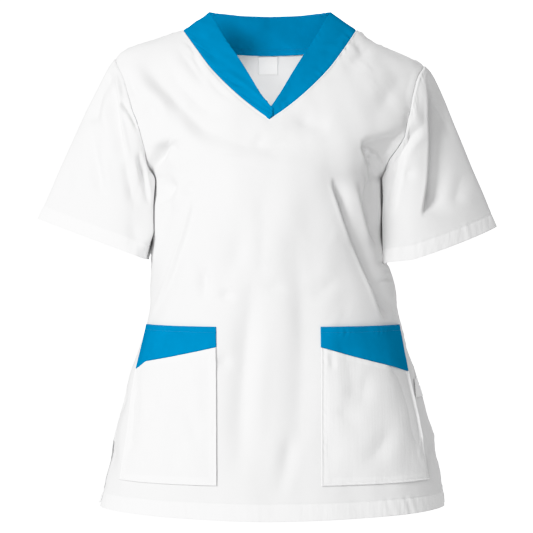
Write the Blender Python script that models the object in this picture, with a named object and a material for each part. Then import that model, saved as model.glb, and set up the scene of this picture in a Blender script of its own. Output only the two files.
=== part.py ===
"""A short-sleeved medical tunic with a V neck, hanging as it is worn, with no wearer in it.

Metres, +Z up. The front faces -Y and the wearer's left is at +X. The origin lies on the shoulder
line, midway between the two points where the shoulder seams meet the neck band. Each sewn piece
is one object: a wall of cloth, 0.3 mm from the pieces it is sewn to.
"""

import bmesh
import bpy
import numpy as np
from mathutils import Vector

# Cloth and seams
CLOTH = 0.0012
HEM_CLOTH = 0.0020
BAND_CLOTH = 0.0016
LABEL_CLOTH = 0.0010
SEAM_GAP = 0.0003
HEM_DEPTH = 0.024
SLEEVE_HEM_DEPTH = 0.020

# Heights on the body
HEM_Z = -0.678
SLIT_TOP_Z = -0.570
SLIT_HALF_GAP = 0.0012
UNDERARM_Z = -0.215
TIP_Z = {"right": -0.040, "left": -0.0505}
NECK_HALF_WIDTH = {"right": 0.1235, "left": 0.1225}
BACK_NECK_Z = -0.0245

# A section of the body is |x / width| ** ROUNDNESS + |y / depth| ** ROUNDNESS = 1.
ROUNDNESS = 2.2

# Half widths of the body to the wearer's right and left, and its depths before and behind y = 0.
BODY_COLUMNS = ("z", "right", "left", "front", "back")
BODY = (
    (-0.678, 0.2430, 0.2475, 0.137, 0.128),
    (-0.639, 0.2335, 0.2428, 0.136, 0.127),
    (-0.582, 0.2229, 0.2329, 0.135, 0.125),
    (-0.525, 0.2087, 0.2187, 0.134, 0.120),
    (-0.480, 0.1960, 0.2045, 0.132, 0.113),
    (-0.446, 0.1832, 0.1931, 0.131, 0.106),
    (-0.412, 0.1732, 0.1846, 0.130, 0.099),
    (-0.383, 0.1690, 0.1796, 0.130, 0.095),
    (-0.355, 0.1676, 0.1728, 0.132, 0.092),
    (-0.325, 0.1676, 0.1645, 0.135, 0.094),
    (-0.290, 0.1676, 0.1610, 0.140, 0.099),
    (-0.250, 0.1670, 0.1600, 0.143, 0.107),
    (-0.215, 0.1640, 0.1605, 0.140, 0.113),
    (-0.190, 0.1790, 0.1745, 0.134, 0.117),
    (-0.170, 0.1900, 0.1960, 0.128, 0.118),
    (-0.154, 0.2010, 0.2110, 0.121, 0.117),
    (-0.134, 0.2130, 0.2190, 0.113, 0.115),
    (-0.114, 0.2230, 0.2250, 0.105, 0.113),
    (-0.090, 0.2260, 0.2260, 0.094, 0.108),
    (-0.060, 0.2245, 0.2235, 0.073, 0.099),
    (-0.048, 0.2215, 0.2150, 0.064, 0.094),
    (-0.037, 0.2160, 0.1931, 0.055, 0.088),
    (-0.026, 0.2016, 0.1680, 0.046, 0.080),
    (-0.014, 0.1661, 0.1420, 0.038, 0.069),
    (-0.004, 0.1370, 0.1300, 0.032, 0.060),
    (0.000, 0.1235, 0.1225, 0.030, 0.056),
    (0.010, 0.0900, 0.0900, 0.024, 0.048),
)

# The front neckline from the bottom of the V to the shoulder seam, seen from the front.
NECKLINE_COLUMNS = ("x", "z")
NECKLINE = (
    (0.000, -0.135),
    (0.018, -0.1225),
    (0.045, -0.100),
    (0.081, -0.062),
    (0.1035, -0.030),
)

# The free edge of the neck band from the V round to the centre back.
BAND_EDGE_COLUMNS = ("knot", "x", "y", "z")
BAND_EDGE = (
    (0, 0.0000, -0.1085, -0.1200),
    (1, 0.0135, -0.1000, -0.0990),
    (2, 0.0285, -0.0835, -0.0725),
    (3, 0.0445, -0.0640, -0.0450),
    (4, 0.0610, -0.0400, -0.0190),
    (5, 0.0785, -0.0130, 0.0135),
    (6, 0.0865, 0.0080, 0.0275),
    (7, 0.0800, 0.0300, 0.0300),
    (8, 0.0620, 0.0480, 0.0306),
    (9, 0.0380, 0.0600, 0.0300),
    (10, 0.0000, 0.0640, 0.0294),
)
BAND_SIDE_KNOT = 6

# The band's right end moves across the V and forwards, over the left end, near the V.
LAP_ACROSS = 0.0035
LAP_FORWARD = 0.0024
LAP_UP = 0.0025
LAP_DOWN = 0.0028
LAP_RUN_SHARE = 0.07

# The armhole's reach before and behind y = 0, and how much lower than its middle it is widest.
ARMHOLE_REACH = {"front": 0.062, "back": 0.058}
ARMHOLE_SQUARENESS = {"right": 1.3, "left": 0.9}
ARMHOLE_DROP = 0.2

# Each sleeve's hem ring, from its outer end to its inner end as seen from the front.
SLEEVE_COLUMNS = ("outer_x", "outer_z", "inner_x", "inner_z", "depth", "front_drop")
SLEEVES = {
    "right": (-0.3309, -0.2670, -0.1735, -0.3250, 0.114, 0.000),
    "left": (0.3223, -0.2783, 0.1680, -0.3250, 0.114, 0.010),
}
SLEEVE_LENGTH = 0.25

# A sleeve's middle line, its gap at the armhole seam along and across that line, and how far the
# cloth stands out beyond a straight run from the seam to the hem.
SLEEVE_AXIS_TOP_X = 0.190
SLEEVE_AXIS_TOP_Z = -0.130
SLEEVE_AXIS_LOW_Z = -0.300
SLEEVE_GAP_ALONG = 0.0003
SLEEVE_GAP_ACROSS = 0.0007
SLEEVE_STAND = 0.0085
SLEEVE_STAND_RUN = 0.05

# The largest folds, each a soft trough between two points seen from the front.
FOLD_COLUMNS = ("x0", "z0", "x1", "z1", "width", "depth")
BODY_FOLDS = (
    (-0.180, -0.040, -0.070, -0.140, 0.022, 0.0107),
    (0.190, -0.060, 0.135, -0.125, 0.020, 0.0107),
    (-0.155, -0.165, -0.150, -0.215, 0.018, 0.0142),
    (0.135, -0.165, 0.150, -0.300, 0.020, 0.0178),
    (0.092, -0.205, 0.160, -0.400, 0.016, 0.0124),
    (-0.026, -0.360, -0.050, -0.600, 0.022, 0.0107),
    (0.015, -0.220, 0.014, -0.560, 0.020, 0.0089),
)
SLEEVE_FOLDS = (
    (-0.224, -0.060, -0.240, -0.240, 0.016, 0.0107),
    (-0.220, -0.090, -0.200, -0.250, 0.016, 0.0089),
    (0.224, -0.060, 0.218, -0.270, 0.020, 0.0178),
    (0.205, -0.130, 0.172, -0.250, 0.018, 0.0089),
)

# The shares of a piece, in from its edges, over which its folds rise to their full depth.
PANEL_CALM_SHARE = 0.12
SLEEVE_TOP_CALM_SHARE = 0.15
SLEEVE_HEM_CALM_SHARE = 0.10

# Pockets, seen from the front: a white bag below a blue top, cut along straight lines.
POCKET_TOP_Z = -0.416
POCKET_BOTTOM_Z = -0.629
POCKET_MIDDLE_X = 0.13
POCKET_COLUMNS = (
    "inner_x", "join_in_z", "join_out_x", "join_out_z", "mouth_out_x", "bottom_out_x"
)
POCKETS = {
    "right": (-0.0717, -0.4435, -0.1845, -0.478, -0.1708, -0.2070),
    "left": (0.0680, -0.4435, 0.1913, -0.480, 0.1807, 0.2181),
}

# Label below the centre of the back seam, and the tag in the left side seam.
LABEL_X = (-0.0175, 0.0120)
LABEL_Z = (-0.0505, -0.0262)
TAG_X = 0.200
TAG_Z = (-0.517, -0.4915)

# Grid cells: across half a panel, up a panel, round and along a sleeve, along and across the band.
# The neck and the armholes take the panels' own points, so that the seams fit.
TURN_SHARE = 2 / 3
HALF_COLUMNS = 12
PANEL_ROWS = 27
NECK_COLUMNS = round(HALF_COLUMNS * TURN_SHARE)
ARMHOLE_ROWS = PANEL_ROWS - round(PANEL_ROWS * TURN_SHARE)
SLEEVE_ROWS = 11
BAND_ROWS = 3
EASE_ROUNDS = 60

# Colours
WHITE = (0.86, 0.87, 0.88, 1.0)
BLUE = (0.0, 0.29, 0.62, 1.0)
LABEL_WHITE = (0.92, 0.92, 0.92, 1.0)
CLOTH_ROUGHNESS = 0.85


def clear_scene():
    for obj in list(bpy.data.objects):
        bpy.data.objects.remove(obj, do_unlink=True)


def cloth_material(name, colour):
    material = bpy.data.materials.new(name)
    material.use_nodes = True
    shader = material.node_tree.nodes["Principled BSDF"]
    shader.inputs["Base Color"].default_value = colour
    shader.inputs["Roughness"].default_value = CLOTH_ROUGHNESS
    shader.inputs["Metallic"].default_value = 0.0
    return material


def smooth_read(columns, rows, column, at):
    """A column's values where the first column is `at`, on a smooth curve through its rows."""
    table = np.array(rows)
    x, y = table[:, 0], table[:, columns.index(column)]
    rise = np.diff(y) / np.diff(x)
    same_way = rise[1:] * rise[:-1] > 0
    mean = 2 * rise[1:] * rise[:-1] / np.where(same_way, rise[1:] + rise[:-1], 1)
    slope = np.concatenate([rise[:1], np.where(same_way, mean, 0), rise[-1:]])
    i = np.clip(np.searchsorted(x, at) - 1, 0, len(x) - 2)
    step = x[i + 1] - x[i]
    t = np.clip((at - x[i]) / step, 0, 1)
    start = (1 + 2 * t) * (1 - t) ** 2 * y[i] + t * (1 - t) ** 2 * step * slope[i]
    end = t * t * (3 - 2 * t) * y[i + 1] - t * t * (1 - t) * step * slope[i + 1]
    return start + end


def body_width(side, z):
    return smooth_read(BODY_COLUMNS, BODY, side, z)


def body_depth(facing, z):
    return smooth_read(BODY_COLUMNS, BODY, facing, z)


def side_sign(side):
    return 1 if side == "left" else -1


def facing_sign(facing):
    return -1 if facing == "front" else 1


def body_excess(points):
    """How far outside the body's section each point is: 0 on the cloth, above 0 outside it."""
    x, y, z = points.T
    width = np.where(x > 0, body_width("left", z), body_width("right", z))
    depth = np.where(y < 0, body_depth("front", z), body_depth("back", z))
    return np.abs(x / width) ** ROUNDNESS + np.abs(y / depth) ** ROUNDNESS - 1


def body_slope(points, step=1e-4):
    moves = np.eye(3) * step
    return np.stack(
        [(body_excess(points + m) - body_excess(points - m)) / (2 * step) for m in moves], axis=1
    )


def body_normals(points):
    slope = body_slope(points)
    return slope / np.linalg.norm(slope, axis=1)[:, None]


def settle_on_body(points, rounds=8):
    """Moves points near the body's surface onto it, square to it."""
    for _ in range(rounds):
        slope = body_slope(points)
        points = points - slope * (body_excess(points) / (slope**2).sum(axis=1))[:, None]
    return points


def depth_at(facing, side, x, z):
    """The y of the body's surface where it shows at x and z from the front or the back."""
    across = np.clip(np.abs(x) / body_width(side, z), 0, 1)
    reach = body_depth(facing, z) * (1 - across**ROUNDNESS) ** (1 / ROUNDNESS)
    return facing_sign(facing) * reach


def along(curve, shares):
    """Points at these shares of the length of a finely drawn curve."""
    steps = np.linalg.norm(np.diff(curve, axis=0), axis=1)
    run = np.concatenate([[0], np.cumsum(steps)]) / steps.sum()
    return np.stack([np.interp(shares, run, curve[:, k]) for k in range(3)], axis=1)


def curve_of(x, y, z):
    return np.stack(np.broadcast_arrays(x, y, z), axis=1).astype(float)


FINE = np.linspace(0, 1, 241)


def centre_line(facing):
    top = NECKLINE[0][1] if facing == "front" else BACK_NECK_Z
    z = HEM_Z + (top - HEM_Z) * FINE
    return curve_of(0, facing_sign(facing) * body_depth(facing, z), z)


def hem_line(facing, side):
    turn = FINE * np.pi / 2
    power = 2 / ROUNDNESS
    x = body_width(side, HEM_Z) * np.sin(turn) ** power
    y = np.maximum(body_depth(facing, HEM_Z) * np.cos(turn) ** power, SLIT_HALF_GAP)
    return curve_of(side_sign(side) * x, facing_sign(facing) * y, HEM_Z)


def seam_half_gap(z):
    """Half of the gap between front and back, which opens down the side slit."""
    opened = np.clip((SLIT_TOP_Z - z) / (SLIT_TOP_Z - HEM_Z), 0, 1)
    return SEAM_GAP / 2 + (SLIT_HALF_GAP - SEAM_GAP / 2) * opened


def side_seam(facing, side):
    z = HEM_Z + (UNDERARM_Z - HEM_Z) * FINE
    return curve_of(
        side_sign(side) * body_width(side, z), facing_sign(facing) * seam_half_gap(z), z
    )


def armhole_edge(facing, side, gap=SEAM_GAP / 2):
    """From the underarm up to the shoulder tip."""
    turn = np.pi * (1 - FINE)
    z = TIP_Z[side] + (UNDERARM_Z - TIP_Z[side]) * (1 - np.cos(turn)) / 2
    reach = ARMHOLE_REACH[facing] * np.sin(turn) ** ARMHOLE_SQUARENESS[side]
    y = np.maximum(reach * (1 - ARMHOLE_DROP * np.cos(turn)), gap)
    forward = (y / body_depth(facing, z)) ** ROUNDNESS
    x = body_width(side, z) * (1 - forward) ** (1 / ROUNDNESS)
    return curve_of(side_sign(side) * x, facing_sign(facing) * y, z)


def shoulder_seam(facing, side):
    """From the neck out to the shoulder tip."""
    z = TIP_Z[side] * FINE
    y = facing_sign(facing) * SEAM_GAP / 2
    return curve_of(side_sign(side) * body_width(side, z), y, z)


def neckline(facing, side):
    """From the centre out to the shoulder seam."""
    neck_x = NECK_HALF_WIDTH[side]
    x = neck_x * np.sin(FINE * np.pi / 2)
    if facing == "front":
        z = smooth_read(NECKLINE_COLUMNS, NECKLINE + ((neck_x, 0.0),), "z", x)
    else:
        z = BACK_NECK_Z * (1 - (x / neck_x) ** ROUNDNESS) ** (1 / ROUNDNESS)
    y = depth_at(facing, side, x, z)
    y[-1] = facing_sign(facing) * SEAM_GAP / 2
    return curve_of(side_sign(side) * x, y, z)


def two_runs(first, second, shares, turn=0.5):
    """Points along one curve up to the share `turn`, and along the next one after it."""
    early = along(first, np.minimum(shares / turn, 1))
    late = along(second, np.maximum(shares - turn, 0) / (1 - turn))
    return np.where((shares <= turn)[:, None], early, late)


def half_panel(facing, side):
    """Points of half a panel, in rows from the hem up and in columns out from the centre."""
    up = np.linspace(0, 1, PANEL_ROWS + 1)
    up[1] = HEM_DEPTH / (UNDERARM_Z - HEM_Z) * TURN_SHARE
    across = np.linspace(0, 1, HALF_COLUMNS + 1)
    inner = along(centre_line(facing), up)[:, None]
    sides = side_seam(facing, side), armhole_edge(facing, side)
    outer = two_runs(*sides, up, TURN_SHARE)[:, None]
    low = along(hem_line(facing, side), across)[None]
    tops = neckline(facing, side), shoulder_seam(facing, side)
    high = two_runs(*tops, across, TURN_SHARE)[None]
    a, b = across[None, :, None], up[:, None, None]
    grid = (1 - a) * inner + a * outer
    grid += (1 - b) * (low - (1 - a) * inner[0] - a * outer[0])
    grid += b * (high - (1 - a) * inner[-1] - a * outer[-1])
    for _ in range(EASE_ROUNDS):
        beside = grid[2:-1, :-2] + grid[2:-1, 2:]
        above_below = grid[1:-2, 1:-1] + grid[3:, 1:-1]
        eased = (beside + above_below) / 4
        grid[2:-1, 1:-1] = settle_on_body(eased.reshape(-1, 3), rounds=2).reshape(eased.shape)
    grid[1, 1:-1] = settle_on_body(grid[1, 1:-1])
    return grid


def fold_depth(folds, x, z):
    """How far the folds press the cloth in, at these places seen from the front.

    Each fold has its full depth halfway along, and fades out half its length past its two ends.
    """
    total = np.zeros(len(x))
    for fold in folds:
        row = dict(zip(FOLD_COLUMNS, fold))
        run_x, run_z = row["x1"] - row["x0"], row["z1"] - row["z0"]
        length = np.hypot(run_x, run_z)
        from_x, from_z = x - row["x0"], z - row["z0"]
        share = (from_x * run_x + from_z * run_z) / length**2
        away = (from_x * run_z - from_z * run_x) / length
        ends = np.clip(share + 0.5, 0, 1) * np.clip(1.5 - share, 0, 1)
        total += row["depth"] * ends**2 * np.exp(-((away / row["width"]) ** 2))
    return total


def press_folds(points, folds, normals, shown):
    """Presses the folds in along the normals; `shown` is 0 where the edge of the piece stays."""
    depth = fold_depth(folds, points[:, 0], points[:, 2]) * shown
    return points - normals * depth[:, None]


def edge_share(across, up):
    """Rises from 0 at a panel's edges to 1 inside it."""
    inside = np.minimum(1 - np.abs(across), np.minimum(up, 1 - up))
    return np.clip(inside / PANEL_CALM_SHARE, 0, 1) ** 2


def panel_points(facing, across, up):
    """Points of a panel: across runs from -1 on the right to 1 on the left, up from 0 to 1."""
    halves = {side: half_panel(facing, side) for side in ("right", "left")}
    row = np.round(up * PANEL_ROWS).astype(int)
    column = np.round(np.abs(across) * HALF_COLUMNS).astype(int)
    on_left = (across > 0)[:, None]
    points = np.where(on_left, halves["left"][row, column], halves["right"][row, column])
    if facing == "front":
        points = press_folds(points, BODY_FOLDS, body_normals(points), edge_share(across, up))
    return points


def cloth_grid(columns, rows, place):
    """A grid of cells whose points `place` puts where their shares across and up belong."""
    mesh = bmesh.new()
    bmesh.ops.create_grid(mesh, x_segments=columns, y_segments=rows, size=0.5)
    shares = np.round(np.array([vertex.co.xy for vertex in mesh.verts]) + 0.5, 6)
    for vertex, point in zip(mesh.verts, place(shares[:, 0], shares[:, 1])):
        vertex.co = point
    bmesh.ops.triangulate(mesh, faces=mesh.faces, quad_method="SHORT_EDGE")
    return mesh


def own_normals(mesh):
    mesh.normal_update()
    return np.array([vertex.normal for vertex in mesh.verts])


def points_of(mesh):
    return np.array([vertex.co for vertex in mesh.verts])


def move_along(mesh, normals, distance):
    for vertex, normal in zip(mesh.verts, normals):
        vertex.co = vertex.co + Vector(normal * distance)


def close_wall(mesh, normals, thickness):
    """Gives a sheet a second face, this far inside it, and a rim, which makes it a closed wall."""
    rim = [edge.link_loops[0] for edge in mesh.edges if edge.is_boundary]
    corners = [(loop.vert, loop.link_loop_next.vert) for loop in rim]
    outer = mesh.verts[:]
    copy = bmesh.ops.duplicate(mesh, geom=outer + mesh.edges[:] + mesh.faces[:])
    partner = copy["vert_map"]
    for vertex, normal, depth in zip(outer, normals, np.broadcast_to(thickness, len(outer))):
        partner[vertex].co = vertex.co - Vector(normal * depth)
    inner_faces = [item for item in copy["geom"] if isinstance(item, bmesh.types.BMFace)]
    bmesh.ops.reverse_faces(mesh, faces=inner_faces)
    for start, end in corners:
        mesh.faces.new((end, start, partner[start], partner[end]))


def add_object(name, mesh, material):
    data = bpy.data.meshes.new(name)
    mesh.to_mesh(data)
    mesh.free()
    data.materials.append(material)
    data.shade_smooth()
    obj = bpy.data.objects.new(name, data)
    bpy.context.collection.objects.link(obj)


def panel_sheet(facing):
    def place(across, up):
        return panel_points(facing, (across * 2 - 1) * -facing_sign(facing), up)

    return cloth_grid(2 * HALF_COLUMNS, PANEL_ROWS, place)


def make_panel(facing, material):
    mesh = panel_sheet(facing)
    points = points_of(mesh)
    in_hem = points[:, 2] < HEM_Z + HEM_DEPTH + SEAM_GAP
    close_wall(mesh, body_normals(points), np.where(in_hem, HEM_CLOTH, CLOTH))
    add_object(facing, mesh, material)


def sleeve_ring(side, turn):
    """The sleeve's hem at these angles, from its outer end by its front to its inner end."""
    row = dict(zip(SLEEVE_COLUMNS, SLEEVES[side]))
    outer = np.array([row["outer_x"], 0, row["outer_z"]])
    inner = np.array([row["inner_x"], 0, row["inner_z"]])
    forward = np.array([0, -row["depth"] / 2, -row["front_drop"]])
    middle, half = (outer + inner) / 2, (outer - inner) / 2
    return middle + np.cos(turn)[:, None] * half + np.sin(turn)[:, None] * forward


def armhole_loop(side, share):
    """The armhole at these shares of the way round: tip, front, underarm, back, tip."""
    return two_runs(armhole_edge("front", side, 0)[::-1], armhole_edge("back", side, 0), share)


def sleeve_points(side, share, fall):
    """Points of a sleeve from their shares round it and down it from the armhole."""
    turn = share * 2 * np.pi
    start = armhole_loop(side, share)
    end = sleeve_ring(side, turn)
    row = dict(zip(SLEEVE_COLUMNS, SLEEVES[side]))
    axis_start = np.array([side_sign(side) * SLEEVE_AXIS_TOP_X, 0, SLEEVE_AXIS_TOP_Z])
    axis_end = np.array([(row["outer_x"] + row["inner_x"]) / 2, 0, SLEEVE_AXIS_LOW_Z])
    down = (axis_end - axis_start) / np.linalg.norm(axis_end - axis_start)
    spoke = end - axis_end
    spoke -= (spoke @ down)[:, None] * down
    spoke /= np.linalg.norm(spoke, axis=1)[:, None]
    stand = SLEEVE_STAND * (1 - ((1 - np.cos(turn)) / 2) ** 3)
    rise = (1 - np.exp(-fall / SLEEVE_STAND_RUN)) * (1 - fall)
    gap = SLEEVE_GAP_ALONG * down + SLEEVE_GAP_ACROSS * spoke * np.cos(turn)[:, None]
    points = start + (end - start) * fall[:, None] + gap * (1 - fall)[:, None]
    points += spoke * (stand * rise)[:, None]
    shown = np.clip(fall / SLEEVE_TOP_CALM_SHARE, 0, 1)
    shown *= np.clip((1 - fall) / SLEEVE_HEM_CALM_SHARE, 0, 1)
    facing_front = np.clip(np.sin(turn), 0, 1)
    return press_folds(points, SLEEVE_FOLDS, spoke, shown * facing_front)


def make_sleeve(side, material):
    even = np.linspace(0, 1, SLEEVE_ROWS + 1)
    moved = even.copy()
    moved[1] = SLEEVE_HEM_DEPTH / SLEEVE_LENGTH

    def place(across, up):
        share = across if side == "right" else 1 - across
        return sleeve_points(side, share, 1 - np.interp(up, even, moved))

    mesh = cloth_grid(2 * ARMHOLE_ROWS, SLEEVE_ROWS, place)
    bmesh.ops.remove_doubles(mesh, verts=mesh.verts, dist=1e-5)
    hem = {
        vertex
        for edge in mesh.edges
        if edge.is_boundary and edge.verts[0].co.z < UNDERARM_Z - SLEEVE_HEM_DEPTH
        for vertex in edge.verts
    }
    above_hem = {edge.other_vert(vertex) for vertex in hem for edge in vertex.link_edges}
    thickness = [HEM_CLOTH if v in hem | above_hem else CLOTH for v in mesh.verts]
    close_wall(mesh, own_normals(mesh), thickness)
    add_object(f"sleeve_{side}", mesh, material)


def band_edge(share):
    """The band's free edge, from the V (0) by the side (0.5) to the centre back (1)."""

    def run(first, last):
        at = first + (last - first) * FINE
        return curve_of(*(smooth_read(BAND_EDGE_COLUMNS, BAND_EDGE, axis, at) for axis in "xyz"))

    front, back = run(0, BAND_SIDE_KNOT), run(BAND_SIDE_KNOT, BAND_EDGE[-1][0])
    return two_runs(front, back, share)


def band_seam(side, share):
    """The band's sewn edge beside the neckline, from the V (0) to the centre back (1)."""
    return two_runs(neckline("front", side), neckline("back", side)[::-1], share)


def band_points(across, up):
    """Left end at the V, up the left side, round the back and down the right side to the V."""
    points = np.empty((len(across), 3))
    for side in ("left", "right"):
        here = across < 0.5 if side == "left" else across >= 0.5
        share = across[here] * 2 if side == "left" else 2 - across[here] * 2
        seam, edge = band_seam(side, share), band_edge(share)
        edge[:, 0] *= side_sign(side)
        first = SEAM_GAP / np.linalg.norm(edge - seam, axis=1)
        climb = first + (1 - first) * up[here]
        points[here] = seam + (edge - seam) * climb[:, None]
        if side == "right":
            near_end = np.clip(1 - share / LAP_RUN_SHARE, 0, 1)
            lift = near_end**2 * (3 - 2 * near_end)
            raised = LAP_UP * (1 - up[here]) - LAP_DOWN * up[here]
            points[here] += curve_of(LAP_ACROSS * lift, -LAP_FORWARD * lift, raised * lift)
    return points


def make_band(material):
    mesh = cloth_grid(4 * NECK_COLUMNS, BAND_ROWS, band_points)
    close_wall(mesh, own_normals(mesh), BAND_CLOTH)
    add_object("neck_band", mesh, material)


def cut_away(mesh, place, outward):
    """Removes what lies on the outward side of a plane."""
    bmesh.ops.bisect_plane(
        mesh,
        geom=mesh.verts[:] + mesh.edges[:] + mesh.faces[:],
        plane_co=place,
        plane_no=outward,
        clear_outer=True,
        dist=1e-6,
    )


def line_cut(mesh, start, end, keep):
    """Cuts along a line seen from the front, through the depth, and keeps the side of `keep`."""
    run_x, run_z = end[0] - start[0], end[1] - start[1]
    outward = np.array([run_z, 0, -run_x])
    toward_keep = np.array([keep[0] - start[0], 0, keep[1] - start[1]])
    if outward @ toward_keep > 0:
        outward = -outward
    cut_away(mesh, (start[0], 0, start[1]), outward)


def lay_on_panel(name, mesh, material, thickness, first_distance):
    """Makes a wall parallel to the panel that the sheet was cut from, its inner face this far out."""
    move_along(mesh, body_normals(points_of(mesh)), first_distance + thickness)
    close_wall(mesh, body_normals(points_of(mesh)), thickness)
    add_object(name, mesh, material)


def make_pocket(side, white, blue):
    row = dict(zip(POCKET_COLUMNS, POCKETS[side]))
    inner_x = row["inner_x"]
    middle = (side_sign(side) * POCKET_MIDDLE_X, (POCKET_TOP_Z + POCKET_BOTTOM_Z) / 2)
    join = ((inner_x, row["join_in_z"]), (row["join_out_x"], row["join_out_z"]))

    top = panel_sheet("front")
    line_cut(top, (inner_x, 0), (inner_x, -1), middle)
    line_cut(top, (0, POCKET_TOP_Z), (1, POCKET_TOP_Z), middle)
    line_cut(top, *join, (middle[0], 0))
    line_cut(top, (row["mouth_out_x"], POCKET_TOP_Z), join[1], middle)
    lay_on_panel(f"pocket_top_{side}", top, blue, BAND_CLOTH, SEAM_GAP)

    bag = panel_sheet("front")
    lower = [(x, z - SEAM_GAP) for x, z in join]
    line_cut(bag, (inner_x, 0), (inner_x, -1), middle)
    line_cut(bag, *lower, (middle[0], -1))
    line_cut(bag, (0, POCKET_BOTTOM_Z), (1, POCKET_BOTTOM_Z), middle)
    line_cut(bag, join[1], (row["bottom_out_x"], POCKET_BOTTOM_Z), middle)
    lay_on_panel(f"pocket_{side}", bag, white, CLOTH, SEAM_GAP)


def make_label(material):
    mesh = panel_sheet("back")
    middle = (sum(LABEL_X) / 2, sum(LABEL_Z) / 2)
    for x in LABEL_X:
        line_cut(mesh, (x, 0), (x, -1), middle)
    for z in LABEL_Z:
        line_cut(mesh, (0, z), (1, z), middle)
    lay_on_panel("neck_label", mesh, material, LABEL_CLOTH, -(CLOTH + SEAM_GAP + LABEL_CLOTH))


def make_side_tag(material):
    mesh = panel_sheet("front")
    middle = (1, sum(TAG_Z) / 2)
    line_cut(mesh, (TAG_X, 0), (TAG_X, -1), middle)
    for z in TAG_Z:
        line_cut(mesh, (0, z), (1, z), middle)
    lay_on_panel("side_tag", mesh, material, LABEL_CLOTH, SEAM_GAP)


def main():
    clear_scene()
    white = cloth_material("white_cloth", WHITE)
    blue = cloth_material("blue_cloth", BLUE)
    label = cloth_material("label_cloth", LABEL_WHITE)
    make_panel("front", white)
    make_panel("back", white)
    for side in ("right", "left"):
        make_sleeve(side, white)
        make_pocket(side, white, blue)
    make_band(blue)
    make_label(label)
    make_side_tag(label)


main()
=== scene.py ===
"""A short-sleeved medical tunic with a V neck, hollow and as it is worn, on a plain pale studio floor.

Metres, +Z up. The front faces -Y and the wearer's left is at +X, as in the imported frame. Each sewn
piece is a fine sheet of cloth on the form that the frame's solid has, with its creases pressed in.
"""

import math

import bmesh
import bpy
import numpy as np
from bpy.props import FloatProperty, FloatVectorProperty, IntProperty, PointerProperty
from bpy.types import Operator, Panel, PropertyGroup
from mathutils import Matrix, Vector


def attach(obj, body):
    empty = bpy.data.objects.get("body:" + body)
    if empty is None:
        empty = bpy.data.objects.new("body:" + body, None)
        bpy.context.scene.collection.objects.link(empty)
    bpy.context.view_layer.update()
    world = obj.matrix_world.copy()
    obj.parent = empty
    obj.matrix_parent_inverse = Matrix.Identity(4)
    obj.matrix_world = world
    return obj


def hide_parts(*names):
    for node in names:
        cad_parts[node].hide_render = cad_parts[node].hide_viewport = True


bl_info = {
    "name": "Medical Tunic",
    "version": (1, 0, 0),
    "blender": (4, 5, 0),
    "location": "3D View > Sidebar > Tunic",
    "description": "Builds a worn medical tunic round its packed frame, with a plain studio",
    "category": "Add Mesh",
}

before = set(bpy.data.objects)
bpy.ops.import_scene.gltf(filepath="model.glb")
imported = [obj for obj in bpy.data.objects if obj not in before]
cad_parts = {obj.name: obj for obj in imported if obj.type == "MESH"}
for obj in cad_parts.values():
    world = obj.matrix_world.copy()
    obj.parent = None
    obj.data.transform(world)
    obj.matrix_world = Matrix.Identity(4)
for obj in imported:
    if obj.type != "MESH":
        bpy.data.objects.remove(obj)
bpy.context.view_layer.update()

# ---------------------------------------------------------------------------------------------
# The worn form, in metres, as the frame's solids have it
# ---------------------------------------------------------------------------------------------

SEAM_GAP = 0.0003
HEM_Z = -0.678
SLIT_TOP_Z = -0.570
SLIT_HALF_GAP = 0.0012
SLIT_SINK = -0.0045
SLIT_SHOW = 0.0006
# How far the front's edge lies inside the back's, down the slit.
SLIT_INSET = 0.0030
SLIT_MARGIN = 0.0100
SLIT_REACH = 0.026
SLIT_PUCKERS = 1.7
# The hem's edge rises towards the sides.
HEM_RISE_MIDDLE = 0.0012
HEM_RISE_SIDE = 0.0066
HEM_RISE_RUN = 0.055
# Nicks in the side seams below the armholes: side, height, half height and depth.
EDGE_NICKS = (
    ("left", -0.223, 0.0060, 0.0035),
    ("right", -0.223, 0.0060, 0.0025),
)
UNDERARM_Z = -0.215
TIP_Z = {"right": -0.040, "left": -0.0505}
NECK_HALF_WIDTH = {"right": 0.1235, "left": 0.1225}
BACK_NECK_Z = -0.0245
ROUNDNESS = 2.2

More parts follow.
